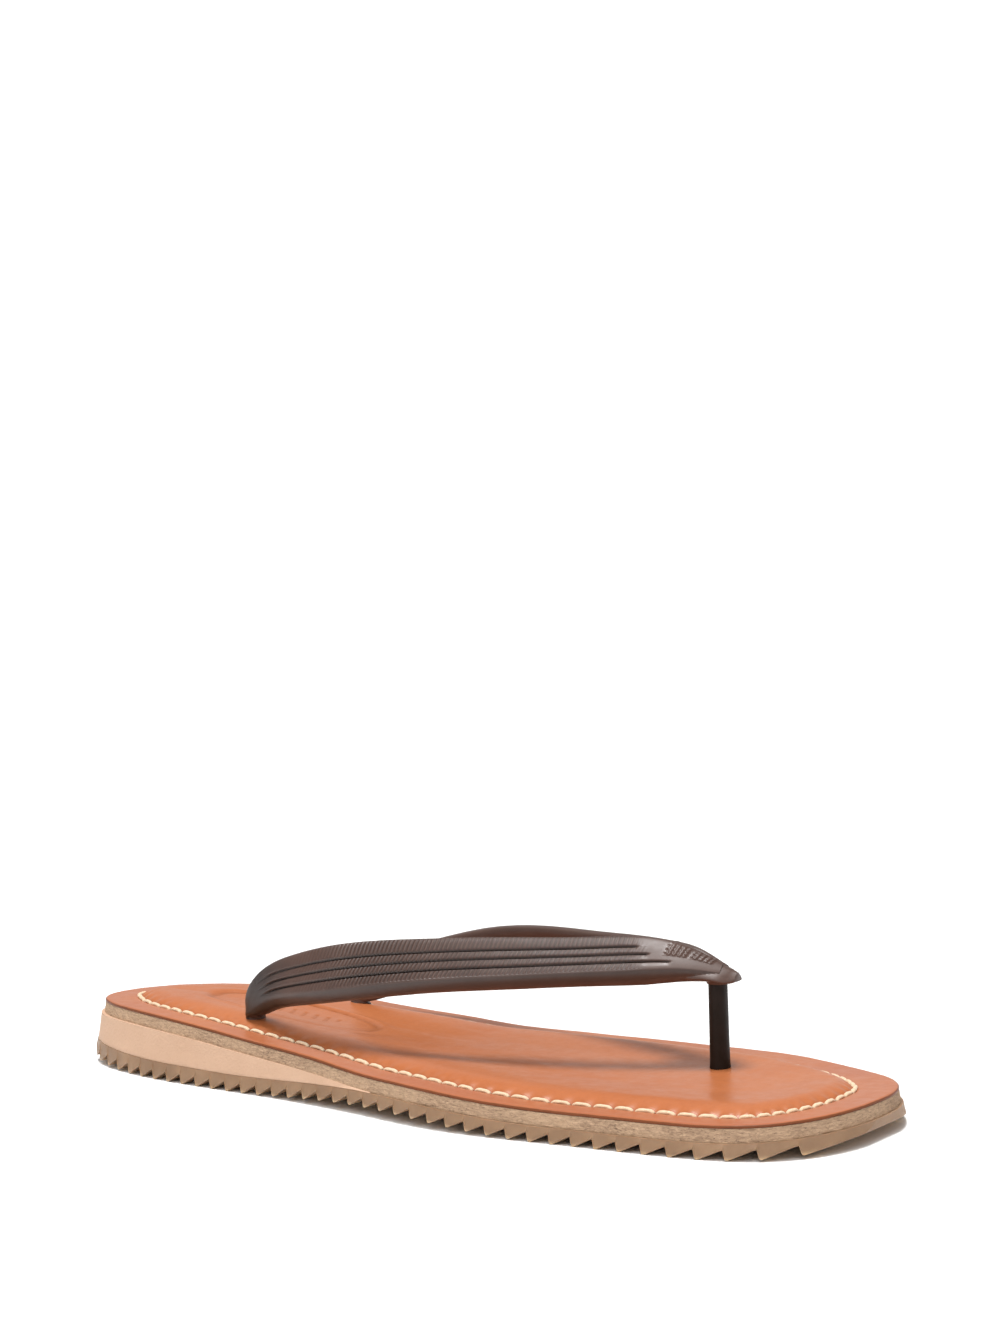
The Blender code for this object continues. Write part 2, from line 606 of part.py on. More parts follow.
def centre_on_origin(widest):
    """Moves every shape sideways so that the widest piece is centred over the origin."""
    points = np.array([v.co[:] for v in widest.data.vertices])
    middle = (points.min(0) + points.max(0)) / 2
    for thing in bpy.data.objects:
        thing.data.transform(Matrix.Translation((-middle[0], -middle[1], 0.0)))


def main():
    clear_scene()
    outline = closed_spline(OUTLINE, OUTLINE_SAMPLES)
    pieces = {
        "outsole": make_outsole(outline),
        "heel_wedge": make_heel_wedge(outline),
        "midsole": make_midsole(outline),
        "footbed_foam": make_footbed_foam(outline),
        "insole_cover": make_insole_cover(outline),
    }
    cut_holes(pieces)
    make_thread("needle_thread", outline, NEEDLE_THREAD_Z, footbed_datum, (0.86, 0.76, 0.62))
    make_thread("bobbin_thread", outline, MIDSOLE_BOTTOM + 0.05, footbed_datum, (0.86, 0.76, 0.62))
    strap = make_strap()
    post = make_toe_post()
    shade_round(strap)
    shade_round(post)
    centre_on_origin(pieces["outsole"])


main()
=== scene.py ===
"""Looks of the flip flop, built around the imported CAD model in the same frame.

Frame: metres, +Z up, toe towards -Y, heel towards +Y, the big-toe side towards +X. Lengths below are in
millimetres, in the outline's own frame, and FRAME_SHIFT moves them onto the centred CAD model. The ground is
z = 0. Every layer follows the same plan outline and adds its own height to underside() or datum().
"""

import math

import bmesh
import bpy
import numpy as np
from mathutils import Matrix, Vector


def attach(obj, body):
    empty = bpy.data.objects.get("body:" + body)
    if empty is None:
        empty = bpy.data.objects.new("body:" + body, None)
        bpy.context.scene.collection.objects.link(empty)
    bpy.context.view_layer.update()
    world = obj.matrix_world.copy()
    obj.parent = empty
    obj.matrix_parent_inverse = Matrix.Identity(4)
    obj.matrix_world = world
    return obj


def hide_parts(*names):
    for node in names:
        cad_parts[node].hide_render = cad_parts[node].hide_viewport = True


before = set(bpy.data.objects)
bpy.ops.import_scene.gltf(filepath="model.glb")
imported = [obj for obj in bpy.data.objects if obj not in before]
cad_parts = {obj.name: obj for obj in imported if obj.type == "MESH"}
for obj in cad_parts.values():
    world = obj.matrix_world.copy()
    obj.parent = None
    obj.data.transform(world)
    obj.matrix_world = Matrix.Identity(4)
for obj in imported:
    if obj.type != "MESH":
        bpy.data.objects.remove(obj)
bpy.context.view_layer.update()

MM = 0.001
FRAME_SHIFT = np.array([-1.945, 0.480, 0.0])
rng = np.random.default_rng(7)

# ---------------- camera
CAMERA_PLACE = (-489.3, -383.1, 132.7)
CAMERA_AZIMUTH, CAMERA_ELEVATION, CAMERA_ROLL = 306.77, 1.29, -1.78
CAMERA_LENS = 59.37

# ---------------- the CAD model's driving dimensions
# Plan outline of the footbed, from the back of the heel along the outer side to the toe and back.
OUTLINE = [
    (-10.0, 127.0), (-22.5, 121.3), (-29.8, 105.0), (-33.8, 82.0), (-35.4, 55.0), (-37.0, 30.0),
    (-40.6, 4.0), (-44.4, -20.0), (-44.4, -42.0), (-41.8, -64.0), (-39.6, -86.0), (-35.8, -107.0),
    (-27.4, -120.4), (-13.5, -127.8), (4.0, -129.7), (19.0, -126.6), (32.6, -115.6), (43.0, -95.5),
    (48.4, -75.0), (48.0, -55.0), (44.6, -37.0), (39.6, -18.0), (36.2, 4.0), (33.2, 25.0),
    (30.2, 46.0), (28.2, 66.0), (25.4, 84.0), (18.8, 102.4), (7.0, 118.8),
]
ARCH_RISE, ARCH_CENTRE_Y, ARCH_HALF_LENGTH = 2.4, -2.0, 62.0
HEEL_SPRING, HEEL_SPRING_FROM_Y, HEEL_SPRING_LENGTH, HEEL_SETTLE = 1.5, 85.0, 40.0, 1.3
TOE_SPRING, TOE_SPRING_FROM_Y, TOE_SPRING_LENGTH = 1.2, -95.0, 30.0
WEDGE_HEIGHT, WEDGE_TIP_Y, WEDGE_FULL_Y, WEDGE_EASE = 10.7, 4.0, 110.0, 10.0
WEDGE_SLOPE = WEDGE_HEIGHT * math.pi / 2 / (WEDGE_FULL_Y - WEDGE_TIP_Y)
OUTSOLE_THICKNESS = 4.0
HEEL_THICKENING, HEEL_THICKENING_FROM_Y, HEEL_THICKENING_LENGTH = 1.5, 10.0, 100.0
TOOTH_PITCH, TOOTH_DEPTH, TOOTH_COUNT, FIRST_TOOTH_Y = 6.2, 2.4, 40, 125.1
TOE_STRETCH, TOE_STRETCH_FROM = 0.103, 31   # from this tooth on the pitch grows by twice this a tooth
TOE_BOTTOM_RISE = 1.7   # the smooth lip ahead of the last tooth rises this much
OUTSOLE_TOP_OUTSET, OUTSOLE_FLARE, HEEL_FLARE = 1.0, 0.6, 1.7
MIDSOLE_BOTTOM, MIDSOLE_TOP = 4.05, 7.4
FLAT_TOP = 8.35         # top of the cover's flat border over the datum
STITCH_PITCH = 6.0
STITCH_INSET, STITCH_INSET_MOST = 8.2, 11.8
HEEL_EXTRA_INSET, TOE_EXTRA_INSET, BIG_TOE_EXTRA_INSET = 2.2, 2.7, 3.4
OUTER_HOLE, INNER_HOLE, POST_HOLE = (-20.5, 59.8), (17.0, 52.0), (17.4, -74.4)
POST_TOP_Z = 32.8

# One strap arm from its neck to the front tip: x, y, z of the middle, width, thickness, lean in degrees.
OUTER_ARM = [
    (-20.5, 60.3, 16.8, 6.0, 6.4, 0.0),
    (-20.6, 60.2, 18.5, 4.4, 5.6, 1.0),
    (-21.6, 59.4, 21.6, 7.6, 5.4, 3.0),
    (-24.0, 51.4, 27.6, 12.1, 4.9, 7.0),
    (-27.0, 39.0, 31.6, 14.2, 4.4, 13.0),
    (-27.6, 20.0, 35.4, 15.7, 4.1, 19.0),
    (-21.8, -5.0, 38.2, 14.7, 4.0, 25.0),
    (-12.6, -25.0, 39.0, 14.0, 4.0, 29.0),
    (-2.0, -43.5, 39.3, 13.3, 4.0, 34.0),
    (6.4, -57.0, 39.4, 13.2, 4.2, 38.0),
    (11.4, -67.0, 38.4, 10.1, 4.6, 42.0),
    (15.6, -76.4, 35.7, 5.0, 4.0, 50.0),
]
INNER_ARM = [
    (17.0, 52.0, 16.1, 5.9, 6.4, 0.0),
    (17.1, 51.6, 19.0, 5.3, 5.6, 1.0),
    (17.9, 48.6, 21.5, 7.6, 5.4, 3.0),
    (21.2, 43.0, 25.4, 11.6, 4.9, 7.0),
    (25.6, 28.0, 29.6, 14.6, 4.4, 13.0),
    (29.6, 9.0, 33.6, 15.8, 4.1, 19.0),
    (28.5, -14.0, 36.1, 15.1, 4.0, 25.0),
    (26.2, -32.0, 36.7, 14.0, 4.0, 29.0),
    (24.4, -48.0, 37.2, 13.3, 4.0, 34.0),
    (21.8, -60.0, 37.4, 12.4, 4.2, 38.0),
    (19.6, -68.5, 37.2, 10.0, 4.6, 42.0),
    (17.8, -76.5, 35.4, 4.0, 4.0, 50.0),
]
# The lump under the arms' front ends, from the crotch to its tip, in the same terms.
KNOT = [
    (14.2, -58.5, 40.8, 5.0, 4.0, 0.0),
    (14.5, -61.5, 39.4, 8.8, 8.0, 0.0),
    (15.2, -66.5, 37.7, 8.4, 10.4, 0.0),
    (16.0, -71.5, 36.6, 6.4, 9.6, 0.0),
    (16.7, -76.0, 35.5, 4.5, 8.6, 0.0),
    (17.1, -78.8, 34.7, 3.8, 6.4, 0.0),
    (17.2, -80.8, 34.6, 2.4, 3.4, 0.0),
]
KNOT_TAPER = 0.6        # the knot is this much narrower along its ridge than at mid height


# ---------------- formulas shared by the pieces
def smooth(t):
    """0 below 0, 1 above 1, and an S-curve between them."""
    t = np.clip(t, 0, 1)
    return t * t * (3 - 2 * t)


def bump_at(x, centre, width):
    """A bell of height 1."""
    return np.exp(-(((x - centre) / width) ** 2))


def underside(y):
    """Height of the tread's tips over the ground."""
    swing = np.clip((y - ARCH_CENTRE_Y) / ARCH_HALF_LENGTH, -1, 1)
    z = ARCH_RISE * np.cos(swing * math.pi / 2) ** 2
    z = z + HEEL_SPRING * (np.clip(y - HEEL_SPRING_FROM_Y, 0, None) / HEEL_SPRING_LENGTH) ** 2
    return z + TOE_SPRING * (np.clip(TOE_SPRING_FROM_Y - y, 0, None) / TOE_SPRING_LENGTH) ** 2


def wedge_lift(y):
    """Sine rise of the wedge, eased in where it starts so that the layers bend without a crease."""
    along = y - WEDGE_TIP_Y
    lift = WEDGE_HEIGHT * np.sin(np.clip(along / (WEDGE_FULL_Y - WEDGE_TIP_Y), 0, 1) * math.pi / 2)
    return lift + WEDGE_SLOPE * np.clip(WEDGE_EASE - abs(along), 0, None) ** 2 / (4 * WEDGE_EASE)


def datum(y):
    """What every layer above the wedge adds to its own height."""
    settle = HEEL_SETTLE * (np.clip(y - HEEL_SPRING_FROM_Y, 0, None) / HEEL_SPRING_LENGTH) ** 2
    return underside(y) + wedge_lift(y) - settle


def outsole_top(y):
    """Height of the outsole's top face, which is thicker towards the heel."""
    share = np.clip((y - HEEL_THICKENING_FROM_Y) / HEEL_THICKENING_LENGTH, 0, 1)
    return underside(y) + OUTSOLE_THICKNESS + HEEL_THICKENING * share


def heel_share(y):
    """How much of the heel's flare the lower layers have."""
    return np.clip(y / FIRST_TOOTH_Y, 0, 1)


def value_noise(points, scale, seed):
    """Smooth noise between -1 and 1 at 3-D points, the same on every run."""
    q = np.asarray(points, float) / scale
    cell = np.floor(q).astype(np.int64)
    f = q - cell
    f = f * f * (3 - 2 * f)
    total = np.zeros(len(q))
    for corner in range(8):
        bit = np.array([corner & 1, corner >> 1 & 1, corner >> 2 & 1])
        c = cell + bit
        h = (c[:, 0] * 73856093) ^ (c[:, 1] * 19349663) ^ (c[:, 2] * 83492791) ^ (seed * 2654435761)
        h = (h ^ (h >> 13)) * 1274126177
        value = ((h ^ (h >> 16)) & 0xFFFF) / 32767.5 - 1
        total += value * np.prod(np.where(bit, f, 1 - f), axis=1)
    return total


# ---------------- plan outline
def closed_spline(points, samples):
    """A smooth closed curve through the points."""
    p = np.array(points, float)
    n = len(p)
    system = 4 * np.eye(n) + np.roll(np.eye(n), 1, 0) + np.roll(np.eye(n), -1, 0)
    slopes = np.linalg.solve(system, 3 * (np.roll(p, -1, 0) - np.roll(p, 1, 0)))
    t = np.linspace(0, n, samples, endpoint=False)
    i = t.astype(int) % n
    u = (t - t.astype(int))[:, None]
    j = (i + 1) % n
    return (p[i] * (2 * u**3 - 3 * u**2 + 1) + slopes[i] * (u**3 - 2 * u**2 + u)
            + p[j] * (3 * u**2 - 2 * u**3) + slopes[j] * (u**3 - u**2))


def unit(vectors):
    return vectors / np.linalg.norm(vectors, axis=1)[:, None]


def outward(line, reach=1):
    """Directions straight out of a closed plan line, each read from its neighbours so many points away."""
    along = unit(np.roll(line, -reach, 0) - np.roll(line, reach, 0))
    outwards = np.column_stack([-along[:, 1], along[:, 0]])
    return outwards if ((line - line.mean(0)) * outwards).sum() >= 0 else -outwards


def offset(line, distance):
    """A closed line moved outwards by a distance, which may differ from point to point."""
    return line + outward(line) * np.reshape(distance, (-1, 1))


def lengths_along(line):
    return np.r_[0, np.cumsum(np.linalg.norm(np.diff(line, axis=0), axis=1))]


def split_sides(line):
    """The outer and the inner side of a closed line, each from the heel to the toe."""
    heel = int(np.argmax(line[:, 1]))
    rolled = np.roll(line, -heel, 0)
    toe = int(np.argmin(rolled[:, 1]))
    first, second = rolled[: toe + 1], np.vstack([rolled[toe:], rolled[:1]])[::-1]
    return (first, second) if first[:, 0].mean() < second[:, 0].mean() else (second, first)


def resample(chain, steps):
    """An open line as so many steps of equal length."""
    lengths = lengths_along(chain)
    t = np.linspace(0, lengths[-1], steps + 1)
    return np.column_stack([np.interp(t, lengths, chain[:, k]) for k in range(2)])


def even_steps(line, count):
    """Points at equal steps of length round a closed line."""
    return resample(np.vstack([line, line[:1]]), count)[:-1]


outline = closed_spline(OUTLINE, 2900)
edge_points = even_steps(outline, 1800)
edge_length = lengths_along(np.vstack([edge_points, edge_points[:1]]))[-1]


def stitch_inset(points):
    """Distance from the outline in to the stitch line: more round the heel, the toe and the big-toe side."""
    x, y = points[:, 0], points[:, 1]
    heel, toe = smooth((y - 98.0) / 26.0), smooth((-y - 106.0) / 22.0)
    big_toe = smooth((x - 15.0) / 25.0) * smooth((-y - 40.0) / 40.0)
    extra = HEEL_EXTRA_INSET * heel + TOE_EXTRA_INSET * toe + BIG_TOE_EXTRA_INSET * big_toe
    return np.minimum(STITCH_INSET + extra, STITCH_INSET_MOST)


edge_inset = stitch_inset(edge_points)


def inset_at(run):
    """The stitch line's inset at a distance round the outline."""
    places = np.arange(len(edge_points)) * edge_length / len(edge_points)
    return np.interp(run, places, edge_inset, period=edge_length)


def inset_and_run(points):
    """For plan points: the distance in from the outline, and how far round it the nearest point is."""
    count = len(edge_points)
    nearest = np.empty(len(points), int)
    for start in range(0, len(points), 4000):
        part = points[start: start + 4000]
        gap = ((part[:, None, :] - edge_points[None, :, :]) ** 2).sum(2)
        nearest[start: start + 4000] = gap.argmin(1)
    best = np.full(len(points), 1e9)
    run = np.zeros(len(points))
    for step in (-1, 0):
        a = edge_points[(nearest + step) % count]
        b = edge_points[(nearest + step + 1) % count]
        share = np.clip(((points - a) * (b - a)).sum(1) / ((b - a) ** 2).sum(1), 0, 1)
        gap = np.linalg.norm(points - (a + (b - a) * share[:, None]), axis=1)
        closer = gap < best
        best = np.where(closer, gap, best)
        run = np.where(closer, (nearest + step + share) % count, run)
    return best, run * edge_length / count


# ---------------- materials
class Graph:
    """A Principled material with short calls for its nodes. Positions come in millimetres."""

    def __init__(self, name, **values):
        self.material = bpy.data.materials.new(name)
        self.material.use_nodes = True
        self.tree = self.material.node_tree
        self.shader = self.tree.nodes["Principled BSDF"]
        for key, value in values.items():
            self.set(self.shader.inputs[key.replace("_", " ")], value)
        place = self.add("TexCoord", out="Object")
        self.place = self.add("VectorMath", operation="SCALE", Vector=place, Scale=1000.0)

    def set(self, socket, value):
        if isinstance(value, bpy.types.NodeSocket):
            self.tree.links.new(value, socket)
        elif isinstance(value, tuple) and len(value) == 3 and socket.type == "RGBA":
            socket.default_value = (*value, 1.0)
        else:
            socket.default_value = value

    def add(self, kind, out=0, **inputs):
        node = self.tree.nodes.new("ShaderNode" + kind)
        for key, value in inputs.items():
            if key[0].islower():
                setattr(node, key, value)
        for key, value in inputs.items():
            if not key[0].islower():
                self.set(node.inputs[key.replace("_", " ")], value)
        return node.outputs[out]

    def stretched(self, *scales):
        node = self.tree.nodes.new("ShaderNodeVectorMath")
        node.operation = "MULTIPLY"
        self.set(node.inputs[0], self.place)
        node.inputs[1].default_value = scales
        return node.outputs[0]

    def noise(self, scale, detail=3.0, roughness=0.5, distortion=0.0, place=None):
        return self.add("TexNoise", Vector=place or self.place, Scale=scale, Detail=detail,
                        Roughness=roughness, Distortion=distortion)

    def cells(self, scale):
        return self.add("TexVoronoi", out="Distance", Vector=self.place, Scale=scale)

    def ramp(self, value, low, high, to_low=0.0, to_high=1.0):
        return self.add("MapRange", Value=value, From_Min=low, From_Max=high, To_Min=to_low, To_Max=to_high,
                        clamp=True)

    def maths(self, operation, a, b=0.0):
        node = self.tree.nodes.new("ShaderNodeMath")
        node.operation = operation
        self.set(node.inputs[0], a)
        self.set(node.inputs[1], b)
        return node.outputs[0]

    def mix(self, share, a, b):
        node = self.tree.nodes.new("ShaderNodeMix")
        node.data_type = "RGBA"
        for socket, value in ((node.inputs[0], share), (node.inputs[6], a), (node.inputs[7], b)):
            self.set(socket, value)
        return node.outputs[2]

    def over(self, base, pattern, low, high, colour, most=1.0):
        """The base, with a colour over it where the pattern is high."""
        return self.mix(self.ramp(pattern, low, high, 0.0, most), base, colour)

    def value_of(self, attribute):
        return self.add("Attribute", out="Fac", attribute_name=attribute)

    def bump(self, height, strength, distance_mm, under=None):
        inputs = {"Height": height, "Strength": strength, "Distance": distance_mm * MM}
        if under is not None:
            inputs["Normal"] = under
        return self.add("Bump", **inputs)

    def finish(self, colour=None, roughness=None, normal=None):
        for key, value in (("Base Color", colour), ("Roughness", roughness), ("Normal", normal)):
            if value is not None:
                self.set(self.shader.inputs[key], value)
        return self.material


def leather_material():
    g = Graph("insole_leather", IOR=1.45, Coat_Roughness=0.22)
    padded, dark = g.value_of("padded"), g.value_of("dark")
    g.set(g.shader.inputs["Coat Weight"], g.ramp(dark, 0.0, 1.0, 0.06, 0.0))
    g.set(g.shader.inputs["Specular IOR Level"], g.ramp(dark, 0.0, 1.0, 0.32, 0.10))
    large = g.noise(0.035, 3.0, 0.55)
    small = g.noise(0.7, 4.0, 0.6)
    base = g.mix(padded, (0.42, 0.134, 0.060), (0.44, 0.134, 0.045))
    base = g.over(base, large, 0.35, 0.68, (0.48, 0.155, 0.055), 0.8)
    base = g.over(base, small, 0.45, 0.8, (0.29, 0.080, 0.030), 0.22)
    # Darker leather at the cut edge and the pressed marks, and painted shade in the stitch holes and the seam
    # crease.
    base = g.mix(dark, base, (0.150, 0.048, 0.020))
    pores = g.cells(1.7)
    creases = g.noise(0.55, 5.0, 0.65, 0.6, g.stretched(1.0, 0.28, 1.0))
    normal = g.bump(pores, 0.10, 0.10)
    normal = g.bump(creases, 0.20, 0.22, normal)
    normal = g.bump(g.noise(0.11, 2.0), 0.2, 0.7, normal)
    rough = g.ramp(g.noise(0.25, 4.0, 0.6), 0.3, 0.75, 0.30, 0.42)
    return g.finish(base, rough, normal)


def midsole_material():
    g = Graph("midsole_board")
    fibres = g.noise(0.9, 6.0, 0.75, 0.8, g.stretched(0.6, 0.6, 2.6))
    specks = g.noise(1.9, 3.0, 0.7, 0.3, g.stretched(0.5, 0.5, 1.4))
    base = g.over((0.27, 0.165, 0.100), fibres, 0.36, 0.66, (0.58, 0.39, 0.25))
    base = g.over(base, specks, 0.55, 0.68, (0.12, 0.068, 0.040), 0.85)
    base = g.over(base, g.noise(0.05, 2.0), 0.4, 0.65, (0.64, 0.43, 0.27), 0.35)
    normal = g.bump(fibres, 0.8, 0.45)
    normal = g.bump(specks, 0.5, 0.2, normal)
    return g.finish(base, 0.92, normal)


def wedge_material():
    g = Graph("wedge_rubber", Roughness=0.68)
    pebbles = g.cells(1.25)
    fine = g.noise(2.2, 4.0, 0.65)
    base = g.over((0.56, 0.355, 0.235), g.noise(0.06, 3.0), 0.35, 0.7, (0.62, 0.405, 0.275))
    base = g.over(base, fine, 0.5, 0.75, (0.50, 0.30, 0.185), 0.3)
    normal = g.bump(pebbles, 0.5, 0.25)
    normal = g.bump(fine, 0.5, 0.14, normal)
    return g.finish(base, None, normal)


def outsole_material():
    g = Graph("outsole_rubber", IOR=1.5, Subsurface_Weight=0.25, Subsurface_Scale=0.0012,
              Subsurface_Radius=(1.0, 0.62, 0.36))
    tip = g.value_of("tip")
    base = g.over((0.24, 0.138, 0.074), g.noise(0.12, 4.0, 0.6), 0.35, 0.7, (0.31, 0.184, 0.102))
    base = g.over(base, g.noise(1.4, 3.0), 0.55, 0.8, (0.22, 0.13, 0.07), 0.25)
    base = g.mix(tip, base, (0.66, 0.46, 0.25))
    normal = g.bump(g.noise(1.1, 5.0, 0.6), 0.25, 0.15)
    rough = g.ramp(g.noise(0.4, 3.0), 0.3, 0.7, 0.42, 0.58)
    return g.finish(base, rough, normal)


def thread_material(name):
    g = Graph(name, Roughness=0.62, Sheen_Weight=0.25, Sheen_Roughness=0.5)
    fibres = g.noise(3.2, 4.0, 0.7)
    base = g.over((0.66, 0.47, 0.29), fibres, 0.35, 0.7, (0.84, 0.68, 0.48))
    return g.finish(base, None, g.bump(fibres, 0.4, 0.12))


def strap_material():
    g = Graph("strap_rubber", IOR=1.5, Specular_IOR_Level=0.55)
    painted_shade, hatched, phase = (g.value_of(name) for name in ("painted_shade", "hatched", "phase"))
    base = g.over((0.072, 0.037, 0.027), g.noise(0.08, 4.0, 0.6), 0.35, 0.7, (0.094, 0.051, 0.038))
    base = g.over(base, g.noise(1.8, 3.0), 0.5, 0.8, (0.034, 0.019, 0.014), 0.3)
    stroke = g.maths("ABSOLUTE", g.maths("SUBTRACT", g.maths("FRACT", phase), 0.5))
    stroke = g.ramp(stroke, 0.10, 0.40)
    pressed = g.maths("MULTIPLY", stroke, hatched)
    # Painted shade darkens the pressed hatch lines; the same lines also set the bump below.
    base = g.over(base, pressed, 0.0, 1.0, (0.018, 0.010, 0.008), 0.45)
    # Painted shade in the grooves, along the turned-under lower edge and towards the neck.
    base = g.mix(painted_shade, base, (0.014, 0.008, 0.006))
    normal = g.bump(g.noise(3.0, 4.0, 0.6), 0.2, 0.08)
    normal = g.bump(g.maths("SUBTRACT", 1.0, pressed), 0.9, 0.22, normal)
    rough = g.ramp(g.noise(0.5, 4.0), 0.3, 0.7, 0.37, 0.46)
    return g.finish(base, rough, normal)


def post_material():
    g = Graph("post_rubber", IOR=1.5, Specular_IOR_Level=0.2)
    base = g.over((0.011, 0.0065, 0.004), g.noise(0.3, 4.0, 0.6), 0.35, 0.7, (0.019, 0.012, 0.009))
    normal = g.bump(g.noise(2.4, 4.0, 0.6), 0.2, 0.08)
    return g.finish(base, g.ramp(g.noise(0.6, 3.0), 0.3, 0.7, 0.42, 0.55), normal)


def foam_material():
    g = Graph("foam_cells", Roughness=0.95)
    pores = g.cells(2.2)
    base = g.over((0.52, 0.49, 0.40), pores, 0.1, 0.6, (0.74, 0.70, 0.60))
    return g.finish(base, None, g.bump(pores, 0.6, 0.3))


# ---------------- meshes
def add_object(name, data):
    thing = bpy.data.objects.new(name, data)
    bpy.context.scene.collection.objects.link(thing)
    return thing


def add_piece(name, points, faces, material, sharp=None, **attributes):
    """A piece from points in millimetres. Sharp is the angle in degrees over which an edge stays crisp."""
    mesh = bpy.data.meshes.new(name)
    mesh.from_pydata(((np.asarray(points, float) + FRAME_SHIFT) * MM).tolist(), [], faces)
    build = bmesh.new()
    build.from_mesh(mesh)
    bmesh.ops.recalc_face_normals(build, faces=build.faces)
    build.to_mesh(mesh)
    build.free()
    for key, values in attributes.items():
        mesh.attributes.new(key, "FLOAT", "POINT").data.foreach_set("value", np.asarray(values, np.float32))
    mesh.materials.append(material)
    mesh.shade_smooth()
    if sharp is not None:
        mesh.set_sharp_from_angle(angle=math.radians(sharp))
    return add_object(name, mesh)


def own_piece(thing, slot, *nodes):
    """A piece that rides on the root body in place of CAD nodes."""
    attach(thing, "root")
    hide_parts(*nodes)
    return thing


def grid_faces(rows, columns, start=0, wrap=False):
    """Quads over a grid of points laid out row by row."""
    low = np.arange(rows - 1)[:, None] * columns
    high = low + columns
    c = np.arange(columns if wrap else columns - 1)[None, :]
    d = (c + 1) % columns
    quads = np.stack([low + c, low + d, high + d, high + c], axis=-1)
    return (quads.reshape(-1, 4) + start).tolist()


def tube_faces(rows, columns, start=0):
    """Faces of a closed tube: quads round it and a cap on each end."""
    faces = grid_faces(rows, columns, start, wrap=True)
    faces.append(list(range(start, start + columns))[::-1])
    faces.append(list(range(start + (rows - 1) * columns, start + rows * columns)))
    return faces


def ladder(inset, rows, columns, crowding):
    """Plan points across the footbed: rows from heel to toe, each from the outer to the inner side."""
    outer, inner = split_sides(offset(outline, -inset))
    outer, inner = resample(outer, rows - 1), resample(inner, rows - 1)
    t = np.linspace(0, 1, columns)
    v = t - crowding * np.sin(2 * math.pi * t) / (2 * math.pi)
    return outer[:, None, :] * (1 - v)[None, :, None] + inner[:, None, :] * v[None, :, None]


# ---------------- insole cover
COVER_INSET = 0.35      # of the top's rim; the wall bulges out from it
CROWN, CROWN_FROM, CROWN_WIDTH = 2.3, 0.5, 7.0   # height, and where it starts and ends inside the stitches
CROWN_SETTLE, CROWN_SETTLE_FROM, CROWN_SETTLE_WIDTH = 0.9, 8.0, 16.0   # the middle of the pad sinks this much
SEAM_DIP, NEEDLE_DIP, EDGE_DROP, HOLE_DIP = 0.30, 0.34, 0.25, 0.35
OVAL_CENTRE, OVAL_HALF, OVAL_POWER = (-5.2, 59.5), (8.6, 31.0), 2.5
OVAL_LINE_DEPTH, OVAL_FLOOR_DEPTH, OVAL_RIM_RISE = 0.52, 0.24, 0.20
BAR_PITCH, BAR_LEAN, BAR_HALF_LENGTH, BAR_ROW_HALF_LENGTH, BAR_DEPTH = 4.4, 0.5, 2.3, 17.0, 0.30


def oval_reach(x, y):
    """1 on the pressed oval's outline, less inside it."""
    return (np.abs((x - OVAL_CENTRE[0]) / OVAL_HALF[0]) ** OVAL_POWER
            + np.abs((y - OVAL_CENTRE[1]) / OVAL_HALF[1]) ** OVAL_POWER) ** (1 / OVAL_POWER)


def inside_stitches(inset, run):
    """Distance in from the stitch line, or out of it where negative. Near the middle of the sole the line's
    extra inset fades out, because the nearest side changes there."""
    extra = (inset_at(run) - STITCH_INSET) * (1 - smooth((inset - 12.0) / 10.0))
    return inset - STITCH_INSET - extra


def crown(inside):
    """Rise of the pad at a distance in from the stitch line."""
    rise = CROWN * (1 - (1 - np.clip((inside - CROWN_FROM) / CROWN_WIDTH, 0, 1)) ** 2.2)
    return rise - CROWN_SETTLE * smooth((inside - CROWN_SETTLE_FROM) / CROWN_SETTLE_WIDTH)


